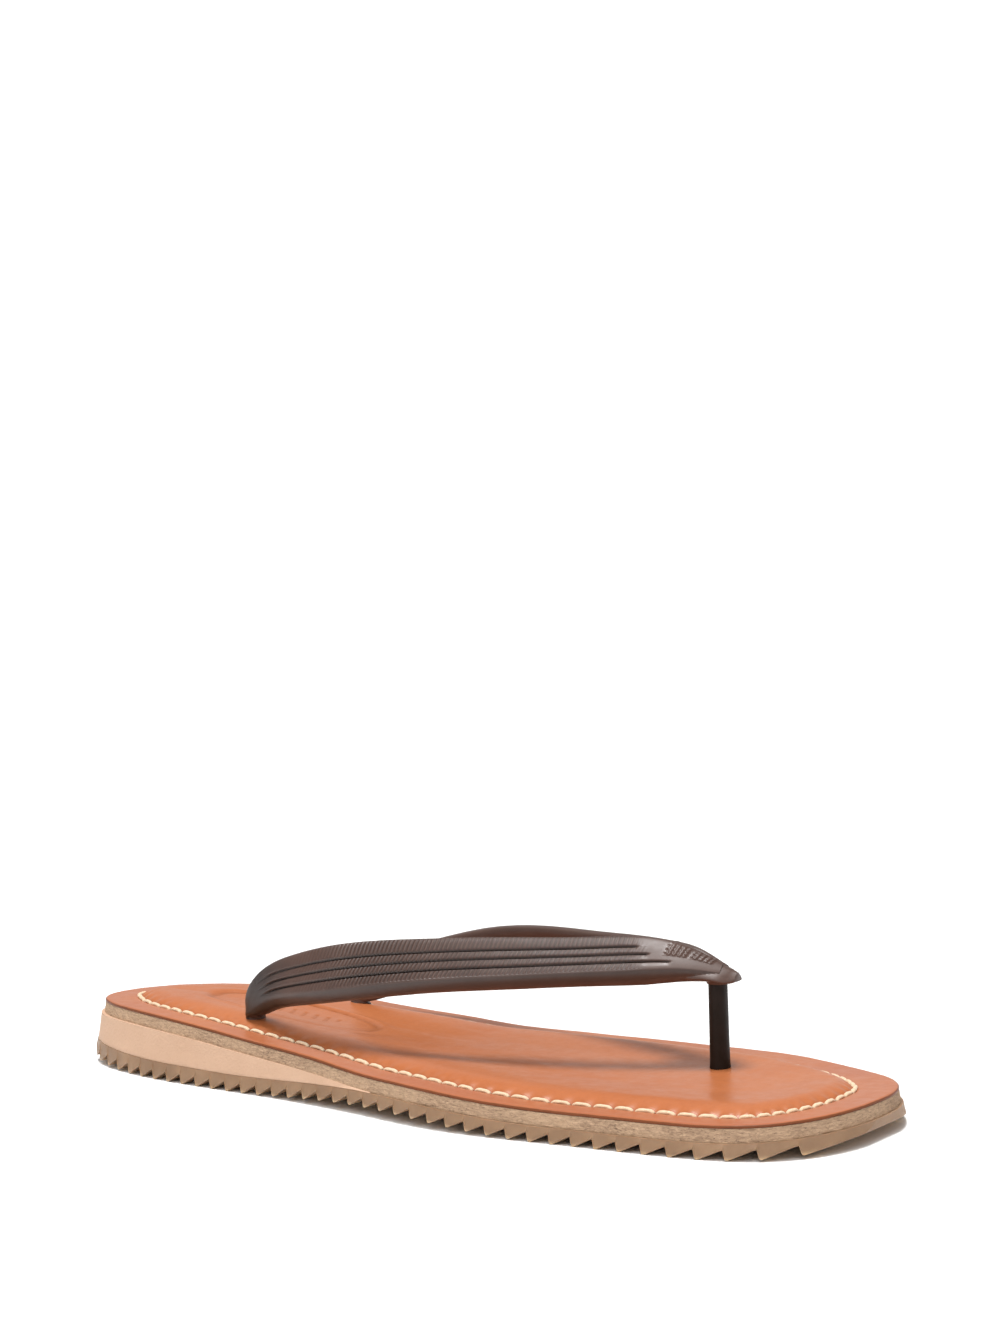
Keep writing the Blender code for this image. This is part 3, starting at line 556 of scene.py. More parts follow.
def cover_heights(points):
    """Heights of the cover's top at plan points, with how padded it is and its darkening, part of it painted
    shade.
    """
    x, y = points[:, 0], points[:, 1]
    inset, run = inset_and_run(points)
    inside = inside_stitches(inset, run)
    beat = np.cos(2 * math.pi * run / (edge_length / stitch_count))
    z = datum(y) + FLAT_TOP + crown(inside + 0.35 * beat * bump_at(inside, 1.5, 1.6))
    z -= SEAM_DIP * bump_at(inside, 0.0, 0.75)
    z -= NEEDLE_DIP * bump_at(inside, 0.0, 0.6) * smooth((-beat - 0.45) / 0.5)
    z -= EDGE_DROP * (1 - smooth(inset / 0.8))
    # The oval's pressed outline, its floor, and a row of small slanted bars pressed into it.
    away = (oval_reach(x, y) - 1) * 8.0
    line = bump_at(away, 0.0, 0.46)
    floor = smooth(-away / 1.2)
    z += -OVAL_LINE_DEPTH * line - OVAL_FLOOR_DEPTH * floor + OVAL_RIM_RISE * bump_at(away, 1.1, 0.7)
    along, across = y - OVAL_CENTRE[1], x - OVAL_CENTRE[0]
    phase = np.abs((along - BAR_LEAN * across + BAR_PITCH / 2) % BAR_PITCH - BAR_PITCH / 2)
    bars = (1 - smooth((phase - 0.25) / 0.45)) * (1 - smooth((np.abs(across) - BAR_HALF_LENGTH) / 0.6))
    bars *= 1 - smooth((np.abs(along) - BAR_ROW_HALF_LENGTH) / 0.8)
    z -= BAR_DEPTH * bars
    # The leather dips a little round each hole.
    for hole, radius in ((OUTER_HOLE, 4.2), (INNER_HOLE, 4.2), (POST_HOLE, 3.4)):
        gap = np.hypot(x - hole[0], y - hole[1])
        z -= HOLE_DIP * bump_at(gap, 0.0, radius)
    # Soft waves over the whole cover, and fine creases round the toe post.
    flat = np.column_stack([x, y * 0.5, np.zeros(len(x))])
    z += 0.05 * value_noise(flat, 6.0, 3) + 0.03 * value_noise(flat, 2.4, 4)
    near_post = bump_at(np.hypot(x - POST_HOLE[0], y - POST_HOLE[1]), 0.0, 22.0)
    z += near_post * 0.05 * value_noise(np.column_stack([x * 0.35, y, np.zeros(len(x))]), 1.7, 5)
    # Painted shade in the stitch holes and the crease inside the stitches; the cut edge and pressed marks are
    # darker.
    hole_dark = bump_at(inside, 0.0, 0.5) * smooth((-beat - 0.72) / 0.2)
    dark = np.clip(0.8 * hole_dark + 0.34 * line + 0.7 * (1 - smooth((inset - 0.1) / 0.35))
                   + 0.20 * bump_at(inside, 0.5, 0.9) + 0.22 * bars, 0, 1)
    return z, {"padded": smooth((inside - 0.2) / 1.2), "dark": dark}


def top_and_wall(rows, columns, wall):
    """The cover's fine top and the wall round it, from a list of (outset, share of the way down).
    ring_of gives the wall's last vertex below each vertex on the top's rim."""
    flat = ladder(COVER_INSET, rows, columns, crowding=0.35).reshape(-1, 2)
    heights, attributes = cover_heights(flat)
    points = [np.column_stack([flat, heights])]
    faces = grid_faces(rows, columns)
    index = np.arange(rows * columns).reshape(rows, columns)
    loop = np.r_[index[:, 0], index[-1, 1:-1], index[::-1, -1], index[0, -2:0:-1]]
    rim = points[0][loop]
    keep = np.r_[True, np.linalg.norm(np.diff(rim[:, :2], axis=0), axis=1) > 1e-9]
    keep[-1] &= np.linalg.norm(rim[-1, :2] - rim[0, :2]) > 1e-9
    loop, rim = loop[keep], rim[keep]
    outwards = outward(rim[:, :2], 2)
    low = datum(rim[:, 1]) + MIDSOLE_TOP
    rings = [loop]
    shares = []
    count = rows * columns
    for outset, share in wall:
        ring = np.column_stack([rim[:, :2] + outwards * outset, rim[:, 2] + (low - rim[:, 2]) * share])
        points.append(ring)
        rings.append(np.arange(len(ring)) + count)
        shares.append(np.full(len(ring), share))
        count += len(ring)
    for here, there in zip(rings[:-1], rings[1:]):
        quads = np.column_stack([here, np.roll(here, -1), np.roll(there, -1), there])
        faces += quads.tolist()
    ring_of = {int(a): int(b) for a, b in zip(loop, rings[-1])}
    return points, faces, attributes, shares, ring_of, index, count


def add_insole_cover(material):
    """A top with the crown and the marks in it, a wall with a cut edge, and a coarse underside."""
    rows, columns, low_columns = 520, 168, 12
    wall = [(0.20, 0.10), (0.33, 0.30), (0.36, 0.55), (0.33, 0.85), (0.10, 1.0)]
    points, faces, attributes, shares, ring_of, index, count = top_and_wall(rows, columns, wall)
    # The underside: a coarse sheet that follows the crown and shares the wall's last ring.
    flat = ladder(COVER_INSET, rows, low_columns, crowding=0.0).reshape(-1, 2)
    inside = inside_stitches(*inset_and_run(flat))
    heights = datum(flat[:, 1]) + np.where(inside < 1.0, MIDSOLE_TOP, MIDSOLE_TOP + crown(inside) * 0.96)
    low_index = np.arange(rows * low_columns).reshape(rows, low_columns) + count
    points.append(np.column_stack([flat, heights]))
    remap = {}
    for row in range(rows):
        for side, column in ((0, 0), (low_columns - 1, columns - 1)):
            top_vertex = int(index[row, column])
            if top_vertex not in ring_of:
                top_vertex = int(index[row, 0])
            remap[int(low_index[row, side])] = ring_of[top_vertex]
    for quad in grid_faces(rows, low_columns, count):
        quad = list(dict.fromkeys(remap.get(v, v) for v in quad))
        if len(quad) > 2:
            faces.append(quad[::-1])
    every = np.vstack(points)
    edge = slice(rows * columns, len(every) - rows * low_columns)
    every[edge, 2] += 0.06 * value_noise(every[edge], 0.9, 8) + 0.05 * value_noise(every[edge], 2.7, 9)
    # The cut edge and the underside are dark, apart from a paler line where the wall starts.
    share = np.concatenate(shares + [np.ones(rows * low_columns)])
    padded = np.r_[attributes["padded"], np.zeros(len(share))]
    dark = np.r_[attributes["dark"], np.clip(share * 1.6 + 0.80, 0, 1) * 0.92]
    return add_piece("insole_cover_leather", every, faces, material, 50, padded=padded, dark=dark)


# ---------------- thread
stitch_line = even_steps(offset(edge_points, -edge_inset), 4000)
stitch_count = int(round(edge_length / STITCH_PITCH))
STITCH_HALF_SPAN, STITCH_HALF_HOLES = 0.43, 0.45   # of the pitch: the bead, and the holes it dives into
STITCH_SINK, STITCH_RISE, STITCH_RADIUS = 0.85, 1.0, 0.62


def add_stitches(material):
    """The visible run of thread: one domed, slightly twisted bead from hole to hole."""
    _, run = inset_and_run(stitch_line)
    order = np.argsort(run)
    run, line = run[order], stitch_line[order]
    steps, sides = 17, 12
    u = np.linspace(-STITCH_HALF_SPAN, STITCH_HALF_SPAN, steps)
    turn = np.linspace(0, 2 * math.pi, sides, endpoint=False)
    lift = np.sqrt(np.clip(1 - (np.abs(u) / STITCH_HALF_HOLES) ** 3, 0, 1))
    points, faces = [], []
    for k in range(stitch_count):
        lean = rng.uniform(-0.10, 0.10)
        swell = rng.uniform(0.92, 1.08)
        at = (k + u) * edge_length / stitch_count % edge_length
        x, y = (np.interp(at, run, line[:, axis], period=edge_length) for axis in range(2))
        z = datum(y) + FLAT_TOP - STITCH_SINK + STITCH_RISE * lift
        path = np.column_stack([x, y, z])
        along = unit(np.gradient(path, axis=0))
        side = unit(np.cross(along, [0, 0, 1.0]))
        up = np.cross(side, along)
        path += side * (lean * u * 4.0)[:, None]
        radius = STITCH_RADIUS * swell * (0.42 + 0.58 * lift ** 0.8)
        start = len(points) * sides
        for s in range(steps):
            ply = 1 + 0.05 * np.cos(2 * (turn - 7.0 * u[s]))
            ring = (path[s] + side[s] * (np.cos(turn) * ply * radius[s] * 1.08)[:, None]
                    + up[s] * (np.sin(turn) * ply * radius[s] * 0.85)[:, None])
            points.append(ring)
        faces += tube_faces(steps, sides, start)
    return add_piece("needle_thread_stitches", np.vstack(points), faces, material)


# ---------------- layers with a wall round the whole sole
def ring_layer(name, rings, material, count, sharp, roughen=None):
    """A closed layer from rings round the sole, each (inset, height), the two ends filled across."""
    points = []
    for inset, height in rings:
        outer, inner = split_sides(offset(outline, -np.asarray(inset)))
        half = count // 2
        outer, inner = resample(outer, half), resample(inner, half)
        ring = np.vstack([outer, inner[-2:0:-1]])
        points.append(np.column_stack([ring, datum(ring[:, 1]) + height]))
    n = len(points[0])
    faces = grid_faces(len(rings), n, 0, wrap=True)
    for start in (0, (len(rings) - 1) * n):
        for k in range(count // 2):
            across = [k, k + 1, (n - k - 1) % n, (n - k) % n]
            across = [v + start for v in dict.fromkeys(across)]
            faces.append(across)
    every = np.vstack(points)
    if roughen is not None:
        every = roughen(every)
    return add_piece(name, every, faces, material, sharp)


GROOVE_INSETS, GROOVE_CORNER, GROOVE_HEIGHT = (7.9, 9.2), 0.05, 1.0    # the lower thread's groove


def add_midsole(material):
    """A board with fibrous walls and a groove for the lower thread along its underside."""
    n = 1500
    levels = np.linspace(0, 1, 14)
    rings = [(12.0, MIDSOLE_TOP), (1.0, MIDSOLE_TOP)]
    rings += [(0.10 - 0.45 * t, MIDSOLE_TOP + (MIDSOLE_BOTTOM - MIDSOLE_TOP) * t) for t in levels]
    near, far = GROOVE_INSETS
    roof = MIDSOLE_BOTTOM + GROOVE_HEIGHT
    rings += [(1.0, MIDSOLE_BOTTOM), (near, MIDSOLE_BOTTOM), (near + GROOVE_CORNER, roof),
              (far - GROOVE_CORNER, roof), (far, MIDSOLE_BOTTOM), (12.0, MIDSOLE_BOTTOM)]

    def roughen(every):
        wall = slice(2 * n, (2 + len(levels)) * n)
        part = every[wall]
        fuzz = 0.10 * value_noise(part * [1, 1, 2.5], 1.1, 21)
        fuzz = fuzz + 0.07 * value_noise(part * [1, 1, 2.0], 0.45, 22) + 0.08 * value_noise(part, 4.0, 23)
        line = even_steps(outline, 700)
        outwards = outward(line)[::7]
        nearest = ((part[:, None, :2] - line[None, ::7, :]) ** 2).sum(2).argmin(1)
        every[wall, :2] = part[:, :2] + outwards[nearest] * fuzz[:, None]
        return every

    return ring_layer("midsole_board", rings, material, n, 60, roughen)


FOAM_FROM, FOAM_SLOPE, FOAM_SHARE = 2.1, 8.0, 0.6     # edge in from the stitches, slope, share of the crown


def add_foam(material):
    """The pad under the cover, which follows the lower part of its crown."""
    edge = stitch_inset(outline) + FOAM_FROM
    rings = []
    for share in (1.0, 0.6, 0.3, 0.0):
        rise = crown(FOAM_FROM + FOAM_SLOPE * share) * FOAM_SHARE
        rings.append((edge + FOAM_SLOPE * share, MIDSOLE_TOP + 0.1 + rise))
    rings += [(edge, MIDSOLE_TOP + 0.06), (edge + FOAM_SLOPE, MIDSOLE_TOP + 0.06)]
    return ring_layer("footbed_foam_pad", rings, material, 300, 40)


# ---------------- wedge and outsole, built row by row
def side_x(chain, y):
    """Where a side of the sole is, across, at a place along it."""
    return np.interp(-y, -chain[:, 1], chain[:, 0])


def layer_walls(low_outset, high_outset):
    """A layer's sides: a function from y to its low and high (outer, inner) x, and its heel and toe ends."""
    low, high = (split_sides(offset(outline, outset)) for outset in (low_outset, high_outset))

    def sides_at(y):
        return [[side_x(chain, y) for chain in pair] for pair in (low, high)]

    return sides_at, min(low[0][0, 1], high[0][0, 1]), max(low[0][-1, 1], high[0][-1, 1])


def heel_rows(end, reach, count):
    """Places that crowd towards the rounded heel end of the sole."""
    turn = np.linspace(0.02, math.pi / 2, count)
    return end - reach * (1 - np.cos(turn))


def row_solid(name, rows, material, sharp, **attributes):
    """A closed solid from cross rows of equally many (x, z) points at one y each."""
    columns = len(rows[0][1])
    points = np.vstack([np.column_stack([loop[:, 0], np.full(columns, y), loop[:, 1]]) for y, loop in rows])
    return add_piece(name, points, tube_faces(len(rows), columns), material, sharp, **attributes)


def section(xs_low, xs_high, z_low, z_high, rounding, levels):
    """A cross row: up the inner side, across the top, down the outer side, and along the bottom."""
    t = np.linspace(0, 1, levels)
    height = z_high - z_low
    r = min(rounding, height * 0.3)
    turn = np.linspace(0, math.pi / 2, 4)

    def side(low_x, high_x, sign):
        low_corner = [(low_x - sign * r * (1 - math.sin(a)), z_low + r * (1 - math.cos(a))) for a in turn]
        wall = [(low_x + (high_x - low_x) * s, z_low + r + (height - r) * s) for s in t[1:]]
        return low_corner + wall

    right = side(xs_low[1], xs_high[1], 1)
    left = side(xs_low[0], xs_high[0], -1)[::-1]
    return np.array(right + left)


def add_wedge(material):
    """Foamed rubber from a feather edge to full height at the heel, with walls that lean in."""
    outset = OUTSOLE_TOP_OUTSET + HEEL_FLARE * heel_share(outline[:, 1])
    sides_at, heel_end, _ = layer_walls(outset - 0.15, outset * 0.5)
    back = heel_end - 0.02
    tip = WEDGE_TIP_Y - WEDGE_EASE / 2
    ys = np.r_[heel_rows(back, 16.0, 60), np.linspace(back - 16.4, tip, 170)]
    rows = []
    for y in ys:
        bottom = outsole_top(y) + 0.02
        top = datum(y) + OUTSOLE_THICKNESS + 0.04
        rows.append((y, section(*sides_at(y), bottom, max(top, bottom + 0.05), 0.15, 9)))
    return row_solid("heel_wedge_rubber", rows, material, 50)


# One tooth from its root on the heel side: shares of the pitch towards the toe, and of the depth.
TOOTH = [
    (-0.066, 1.0), (-0.055, 0.86), (-0.04, 0.62), (-0.023, 0.34), (-0.007, 0.12), (0.016, 0.02), (0.045, 0.0),
    (0.08, 0.014), (0.145, 0.076), (0.26, 0.21), (0.42, 0.41), (0.60, 0.635), (0.76, 0.84), (0.865, 0.96),
    (0.92, 0.993),
]
TOOTH_TIP = 6           # the point in TOOTH where the tip is lowest; the last tooth ends there


def add_outsole(material):
    """A sheet with saw teeth right across it and a smooth lip ahead of the last tooth."""
    flare = HEEL_FLARE * heel_share(outline[:, 1])
    sides_at, heel_end, toe_end = layer_walls(
        OUTSOLE_TOP_OUTSET + OUTSOLE_FLARE + flare, OUTSOLE_TOP_OUTSET + flare)
    heel_end, toe_end = heel_end - 0.03, toe_end + 0.03
    stations = [(heel_end - s, TOOTH_DEPTH) for s in (0.0, 0.12, 0.4, 0.8, 1.3)]
    for k in range(TOOTH_COUNT):
        stretched = max(0, k - TOE_STRETCH_FROM)
        tip_y = FIRST_TOOTH_Y - k * TOOTH_PITCH - TOE_STRETCH * stretched ** 2
        pitch = TOOTH_PITCH + 2 * TOE_STRETCH * stretched
        depth = TOOTH_DEPTH + (outsole_top(tip_y) - underside(tip_y) - OUTSOLE_THICKNESS) / 3
        last = k == TOOTH_COUNT - 1
        for run, height in TOOTH[: TOOTH_TIP + 1 if last else None]:
            stations.append((tip_y - run * pitch, height * depth))
    start_y = stations[-1][0]
    for share in np.linspace(0.06, 1, 22):
        y = start_y + (toe_end - start_y) * math.sin(share * math.pi / 2)
        stations.append((y, TOE_BOTTOM_RISE * math.sin(share * math.pi / 2)))
    stations.sort(key=lambda s: -s[0])
    rows, tips = [], []
    for y, height in stations:
        loop = section(*sides_at(y), underside(y) + height, outsole_top(y), 0.25, 6)
        rows.append((y, loop))
        tips.append(np.clip(1 - (loop[:, 1] - underside(y)) / 0.9, 0, 1) ** 1.5 * 0.9)
    return row_solid("outsole_gum_rubber", rows, material, 42, tip=np.concatenate(tips))


# ---------------- strap
# Grooves: place across the arm, and the y where each runs out.
GROOVES = ((0.42, -57.0), (0.07, -59.5), (-0.28, -65.0))
GROOVE_HALF_WIDTH, GROOVE_DEPTH, LAP_DEPTH = 0.036, 0.55, 0.32
BEVEL, BEVEL_CURL = -0.62, 2.1       # where the lower edge turns under, and by how much
HATCH_PITCH = 1.25
ACROSS_POWER, OUT_POWER = 0.75, 0.55   # how square an arm's section is, across it and out of it
# The bars that stand on the outer arm by the knot: where each group starts, measured towards the toe.
MARK_FROM, MARK_LENGTH, MARK_PITCH, MARK_LEAN, MARK_RISE = (62.4, 68.6), 5.0, 1.25, 1.5, 0.32


def spline_through(points, samples):
    """A smooth open curve through the points, in all their columns."""
    p = np.array(points, float)
    n = len(p)
    t = np.r_[0, np.cumsum(np.sqrt(np.linalg.norm(np.diff(p[:, :3], axis=0), axis=1)))]
    h = np.diff(t)
    system = np.zeros((n, n))
    right = np.zeros((n, p.shape[1]))
    system[0, 0] = system[-1, -1] = 1
    for k in range(1, n - 1):
        system[k, k - 1], system[k, k], system[k, k + 1] = h[k - 1], 2 * (h[k - 1] + h[k]), h[k]
        right[k] = 6 * ((p[k + 1] - p[k]) / h[k] - (p[k] - p[k - 1]) / h[k - 1])
    bend = np.linalg.solve(system, right)
    at = np.linspace(0, t[-1], samples)
    k = np.clip(np.searchsorted(t, at, "right") - 1, 0, n - 2)
    a, b, w = (at - t[k])[:, None], (t[k + 1] - at)[:, None], h[k][:, None]
    return (bend[k] * b**3 / (6 * w) + bend[k + 1] * a**3 / (6 * w)
            + (p[k] / w - bend[k] * w / 6) * b + (p[k + 1] / w - bend[k + 1] * w / 6) * a)


def arm_path(stations, side, steps):
    """Even steps along an arm, with the directions out of its face and up its width at each."""
    fine = spline_through(stations, 1200)
    lengths = lengths_along(fine[:, :3])
    at = np.linspace(0, lengths[-1], steps)
    path = np.column_stack([np.interp(at, lengths, fine[:, k]) for k in range(6)])
    along = unit(np.gradient(path[:, :3], axis=0))
    plan = along * [1, 1, 0]
    plan /= np.maximum(np.linalg.norm(plan, axis=1), 1e-9)[:, None]
    outwards = np.column_stack([-plan[:, 1], plan[:, 0], np.zeros(steps)])
    outwards *= np.where(-plan[:, 1] * side > 0, 1, -1)[:, None]
    outwards = unit(outwards - along * (outwards * along).sum(1)[:, None])
    up = np.cross(along, outwards)
    up *= np.where(up[:, 2] > 0, 1, -1)[:, None]
    turn = np.radians(path[:, 5])[:, None]
    face = outwards * np.cos(turn) + up * np.sin(turn)
    edge = up * np.cos(turn) - outwards * np.sin(turn)
    return path, at, face, edge


def arm_relief(across, y):
    """Depth of the ribbed outer face below its smooth shape, how much painted shade it gets, and how strongly
    hatched.
    """
    fade_in = smooth((54.0 - y) / 8.0)
    depth, painted_shade, hatched, slant = (np.zeros_like(across) for _ in range(4))
    edges = [1.0] + [place for place, _ in GROOVES] + [BEVEL]
    for place, stop in GROOVES:
        live = fade_in * smooth((y - stop) / 1.5)
        cut_line = bump_at(across, place, GROOVE_HALF_WIDTH)
        lap = smooth((place - across) / 0.02) * (1 - smooth((place - across) / 0.28))
        depth += live * (GROOVE_DEPTH * cut_line + LAP_DEPTH * lap)
        # Painted shade in each groove line.
        painted_shade += live * cut_line
    # Painted shade along the turned-under lower edge and towards the neck, where the arm turns away from the
    # light.
    painted_shade += 0.5 * smooth((BEVEL - across) / 0.08) + 0.85 * smooth((y - 36.0) / 18.0)
    live = smooth((40.0 - y) / 30.0) * smooth((y + 60.0) / 8.0)
    for high, low in zip(edges[:-1], edges[1:]):
        q = (high - across) / (high - low)
        hatched += smooth((q + 0.02) / 0.08) * (1 - smooth((q - 0.88) / 0.12))
        slant += np.where((q >= 0) & (q < 1), q, 0.0)
    return depth, np.clip(painted_shade, 0, 1), hatched * live, slant


def ring_turns(sides):
    """Places round a section, crowded at the grooves on the outer face."""
    groove = np.array([-2.4, -1.6, -1.0, -0.5, 0.0, 0.5, 1.0, 1.6, 2.4])
    outer = np.linspace(0.995, -0.995, sides // 2)
    for place, _ in GROOVES:
        outer = np.r_[outer, place + groove * GROOVE_HALF_WIDTH]
    outer = np.sort(outer)[::-1]
    turns = np.arccos(np.sign(outer) * np.abs(outer) ** (1 / ACROSS_POWER))
    return np.r_[turns, math.pi + np.linspace(0.06, math.pi - 0.06, sides // 2)]


def raised_mark(across, y):
    """Two short groups of plain parallel bars at the toe end of the outer arm."""
    bars = np.zeros_like(across)
    place = -y - MARK_LEAN * across
    for start in MARK_FROM:
        inside = smooth((place - start) / 0.3) * (1 - smooth((place - start - MARK_LENGTH) / 0.3))
        wave = np.abs((place - start) / MARK_PITCH % 1.0 - 0.5) * 2
        bars += inside * smooth((wave - 0.35) / 0.25)
    return bars * smooth((across + 0.02) / 0.08) * (1 - smooth((across - 0.78) / 0.08))


def arm_shell(stations, side, steps, turns, ribbed=True, taper=0.0):
    """An arm, or the plain knot: points, faces and the values that its material reads."""
    path, run, face, edge = arm_path(stations, side, steps)
    across = np.sign(np.cos(turns)) * np.abs(np.cos(turns)) ** ACROSS_POWER
    out = np.sign(np.sin(turns)) * np.abs(np.sin(turns)) ** OUT_POWER
    facing = smooth((out - 0.35) / 0.3)
    points, values = [], []
    for k in range(steps):
        x, y, z, width, thickness, _ = path[k]
        reach = out * thickness / 2 * (1 - taper * across)
        if ribbed:
            depth, painted_shade, hatched, slant = arm_relief(across, np.full(len(turns), y))
            curl = BEVEL_CURL * np.clip((BEVEL - across) / (1 + BEVEL), 0, 1) ** 1.6
            reach = reach - (depth * facing + curl) * min(1.0, (width / 13.0) ** 2)
            if side < 0:
                reach = reach + MARK_RISE * raised_mark(across, y) * facing
            values.append([painted_shade * facing, hatched * facing, run[k] / HATCH_PITCH + slant * 0.9])
        else:
            values.append(np.zeros((3, len(turns))))
        ring = edge[k] * (across * width / 2)[:, None] + face[k] * reach[:, None]
        points.append(np.array([x, y, z]) + ring)
    faces = tube_faces(steps, len(turns))
    return np.vstack(points), faces, dict(zip(("painted_shade", "hatched", "phase"), np.hstack(values)))


def turned(profile, place, sides=48, squash_y=1.0):
    """A closed turned shape from (radius, height) pairs, flattened along y by a share."""
    turn = np.linspace(0, 2 * math.pi, sides, endpoint=False)
    points = np.vstack([np.column_stack([place[0] + r * np.cos(turn), place[1] + r * squash_y * np.sin(turn),
                                         np.full(sides, z)]) for r, z in profile])
    return points, tube_faces(len(profile), sides)


def unite(first, others):
    """Joins closed shapes into one body and removes the shapes that went in."""
    for other in others:
        modifier = first.modifiers.new("unite", "BOOLEAN")
        modifier.operation = "UNION"
        modifier.solver = "MANIFOLD"
        modifier.object = other
    graph = bpy.context.evaluated_depsgraph_get()
    joined = bpy.data.meshes.new_from_object(first.evaluated_get(graph), preserve_all_data_layers=True,
                                             depsgraph=graph)
    first.modifiers.clear()
    first.data = joined
    for other in others:
        bpy.data.objects.remove(other)
    return first


def add_strap(material):
    """Both arms, the knot and the collar over the post, united into one moulding."""
    parts = []
    for name, stations, side in (("strap_rubber", OUTER_ARM, -1), ("strap_inner", INNER_ARM, 1)):
        points, faces, values = arm_shell(stations, side, 450, ring_turns(72))
        parts.append(add_piece(name, points, faces, material, 40, **values))
    even = np.linspace(0, 2 * math.pi, 96, endpoint=False)
    points, faces, values = arm_shell(KNOT, -1, 200, even, ribbed=False, taper=KNOT_TAPER)
    parts.append(add_piece("strap_knot", points, faces, material, 40, **values))
    collar = [(2.9, 32.4), (3.1, 32.7), (3.3, 33.4), (3.5, 34.4), (3.5, 35.8)]
    points, faces = turned(collar, POST_HOLE)
    values = {name: np.zeros(len(points)) for name in values}
    parts.append(add_piece("strap_collar", points, faces, material, 40, **values))
    strap = unite(parts[0], parts[1:])
    strap.data.shade_smooth()
    strap.data.set_sharp_from_angle(angle=math.radians(50))
    return strap


def add_post(material):
    """The post between the toes, a little waisted and flattened, from inside the pad up into the collar."""
    foot = datum(POST_HOLE[1]) + FLAT_TOP + crown(20.0)
    top = POST_TOP_Z
    profile = [(2.6, foot - 3.0), (3.15, foot - 0.5), (3.10, foot + 0.3), (3.02, foot + 1.6),
               (2.94, foot + 8.0), (2.86, top - 2.0), (2.86, top - 0.5), (2.80, top - 0.1), (2.3, top + 0.2)]
    points, faces = turned(profile, POST_HOLE, 56, 0.88)
    return add_piece("toe_post_rubber", points, faces, material, 50)


# ---------------- build the pieces
cover = own_piece(add_insole_cover(leather_material()), "insole_cover", "insole_cover")
own_piece(add_stitches(thread_material("needle_thread_fibre")), "needle_thread", "needle_thread")
own_piece(add_midsole(midsole_material()), "midsole", "midsole")
foam = own_piece(add_foam(foam_material()), "footbed_foam", "footbed_foam")
own_piece(add_wedge(wedge_material()), "heel_wedge", "heel_wedge")
own_piece(add_outsole(outsole_material()), "outsole", "outsole")
own_piece(add_strap(strap_material()), "strap", "strap")
own_piece(add_post(post_material()), "toe_post", "toe_post")
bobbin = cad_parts["bobbin_thread"]
bobbin.data.materials.clear()
bobbin.data.materials.append(thread_material("bobbin_thread_fibre"))


# ---------------- floor, lights, camera
def add_floor():
    """A wide sheet of pale paper on the ground."""
    g = Graph("floor_paper", Roughness=0.9)
    base = g.over((0.93, 0.93, 0.93), g.noise(0.004, 2.0), 0.3, 0.7, (0.95, 0.95, 0.95))
    g.finish(base, None, g.bump(g.noise(0.5, 3.0), 0.05, 0.1))
    mesh = bpy.data.meshes.new("floor")
    half = 6.0
    corners = [(-half, -half, 0), (half, -half, 0), (half, half, 0), (-half, half, 0)]
    mesh.from_pydata(corners, [], [(0, 1, 2, 3)])
    mesh.materials.append(g.material)
    add_object("floor", mesh)


WORLD_LIGHT, BACKDROP_LIGHT, WHITE_BACKGROUND = 0.36, 0.62, 1.1
BACKDROP_SIDE = (0.86, 0.50, 0.05)     # towards the far side of the object, seen from the camera
SOFTBOX_SIZE = {"shape": "RECTANGLE", "size": 1.0, "size_y": 0.9}


def add_light(name, kind, place, target, power, **settings):
    light = bpy.data.lights.new(name, kind)
    light.energy = power
    for key, value in settings.items():
        setattr(light, key, value)
    thing = add_object(name, light)
    thing.location = Vector(place)
    thing.rotation_euler = (Vector(target) - Vector(place)).to_track_quat("-Z", "Y").to_euler()


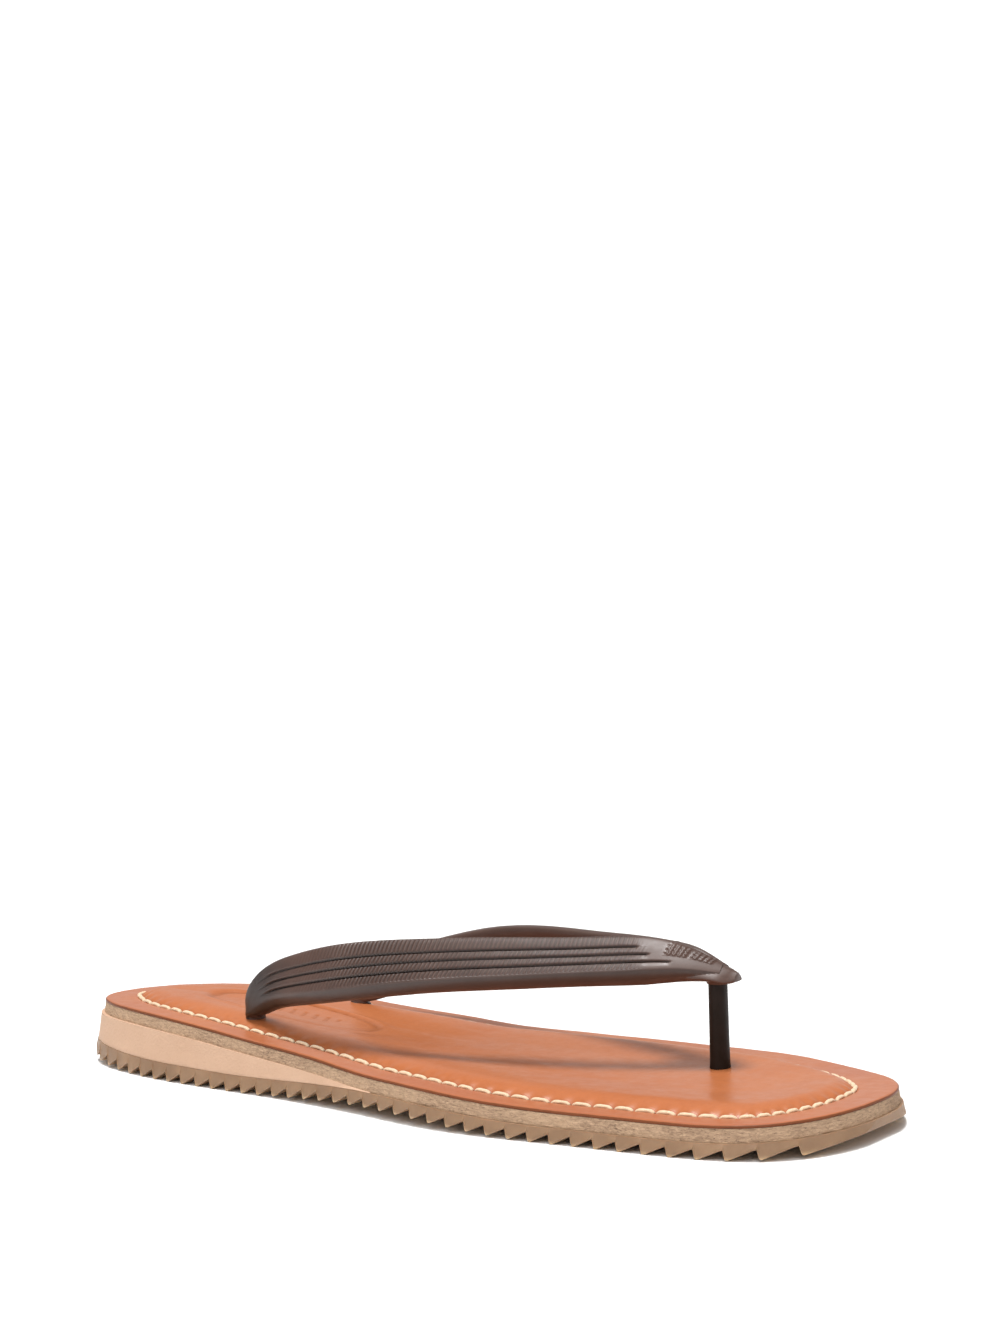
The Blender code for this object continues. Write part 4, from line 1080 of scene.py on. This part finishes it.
def add_world():
    """White to the camera; as a light, softer, with a bright backdrop behind the object."""
    world = bpy.data.worlds.new("studio")
    world.use_nodes = True
    nodes, links = world.node_tree.nodes, world.node_tree.links
    background = nodes["Background"]
    background.inputs["Color"].default_value = (1.0, 1.0, 1.0, 1.0)
    kinds = ("LightPath", "MapRange", "TexCoord", "VectorMath", "MapRange")
    seen, strength, place, towards, backdrop = (nodes.new("ShaderNode" + kind) for kind in kinds)
    strength.inputs["To Max"].default_value = WHITE_BACKGROUND
    towards.operation = "DOT_PRODUCT"
    towards.inputs[1].default_value = BACKDROP_SIDE
    limits = {"From Min": 0.45, "From Max": 0.95, "To Min": WORLD_LIGHT, "To Max": BACKDROP_LIGHT}
    for key, value in limits.items():
        backdrop.inputs[key].default_value = value
    for source, out, target, into in (
            (place, "Generated", towards, 0), (towards, "Value", backdrop, "Value"),
            (backdrop, "Result", strength, "To Min"), (seen, "Is Camera Ray", strength, "Value"),
            (strength, "Result", background, "Strength")):
        links.new(source.outputs[out], target.inputs[into])
    bpy.context.scene.world = world


def add_camera():
    """The camera's back points towards the azimuth and elevation, and roll turns it about that line."""
    azimuth, elevation, roll = (math.radians(v) for v in (CAMERA_AZIMUTH, CAMERA_ELEVATION, CAMERA_ROLL))
    back = Vector((math.sin(azimuth) * math.cos(elevation), -math.cos(azimuth) * math.cos(elevation),
                   math.sin(elevation)))
    level = Vector((math.cos(azimuth), math.sin(azimuth), 0.0))
    upright = back.cross(level)
    right = level * math.cos(roll) + upright * math.sin(roll)
    up = upright * math.cos(roll) - level * math.sin(roll)
    data = bpy.data.cameras.new("photo_camera")
    data.sensor_fit = "AUTO"
    data.sensor_width = 36.0
    data.lens = CAMERA_LENS
    data.clip_start = 0.01
    camera = add_object("photo_camera", data)
    turn = Matrix((right, up, back)).transposed().to_4x4()
    place = (Vector(CAMERA_PLACE) + Vector(FRAME_SHIFT)) * MM
    camera.matrix_world = Matrix.Translation(place) @ turn
    bpy.context.scene.camera = camera


add_floor()
add_light("overhead", "SUN", (-0.09, 0.02, 1.0), (0, 0, 0), 3.0, angle=math.radians(20))
add_light("softbox", "AREA", (-0.85, -0.35, 1.0), (0, 0, 0.02), 7.5, **SOFTBOX_SIZE)
add_world()
bpy.context.scene.view_settings.view_transform = "Standard"
add_camera()
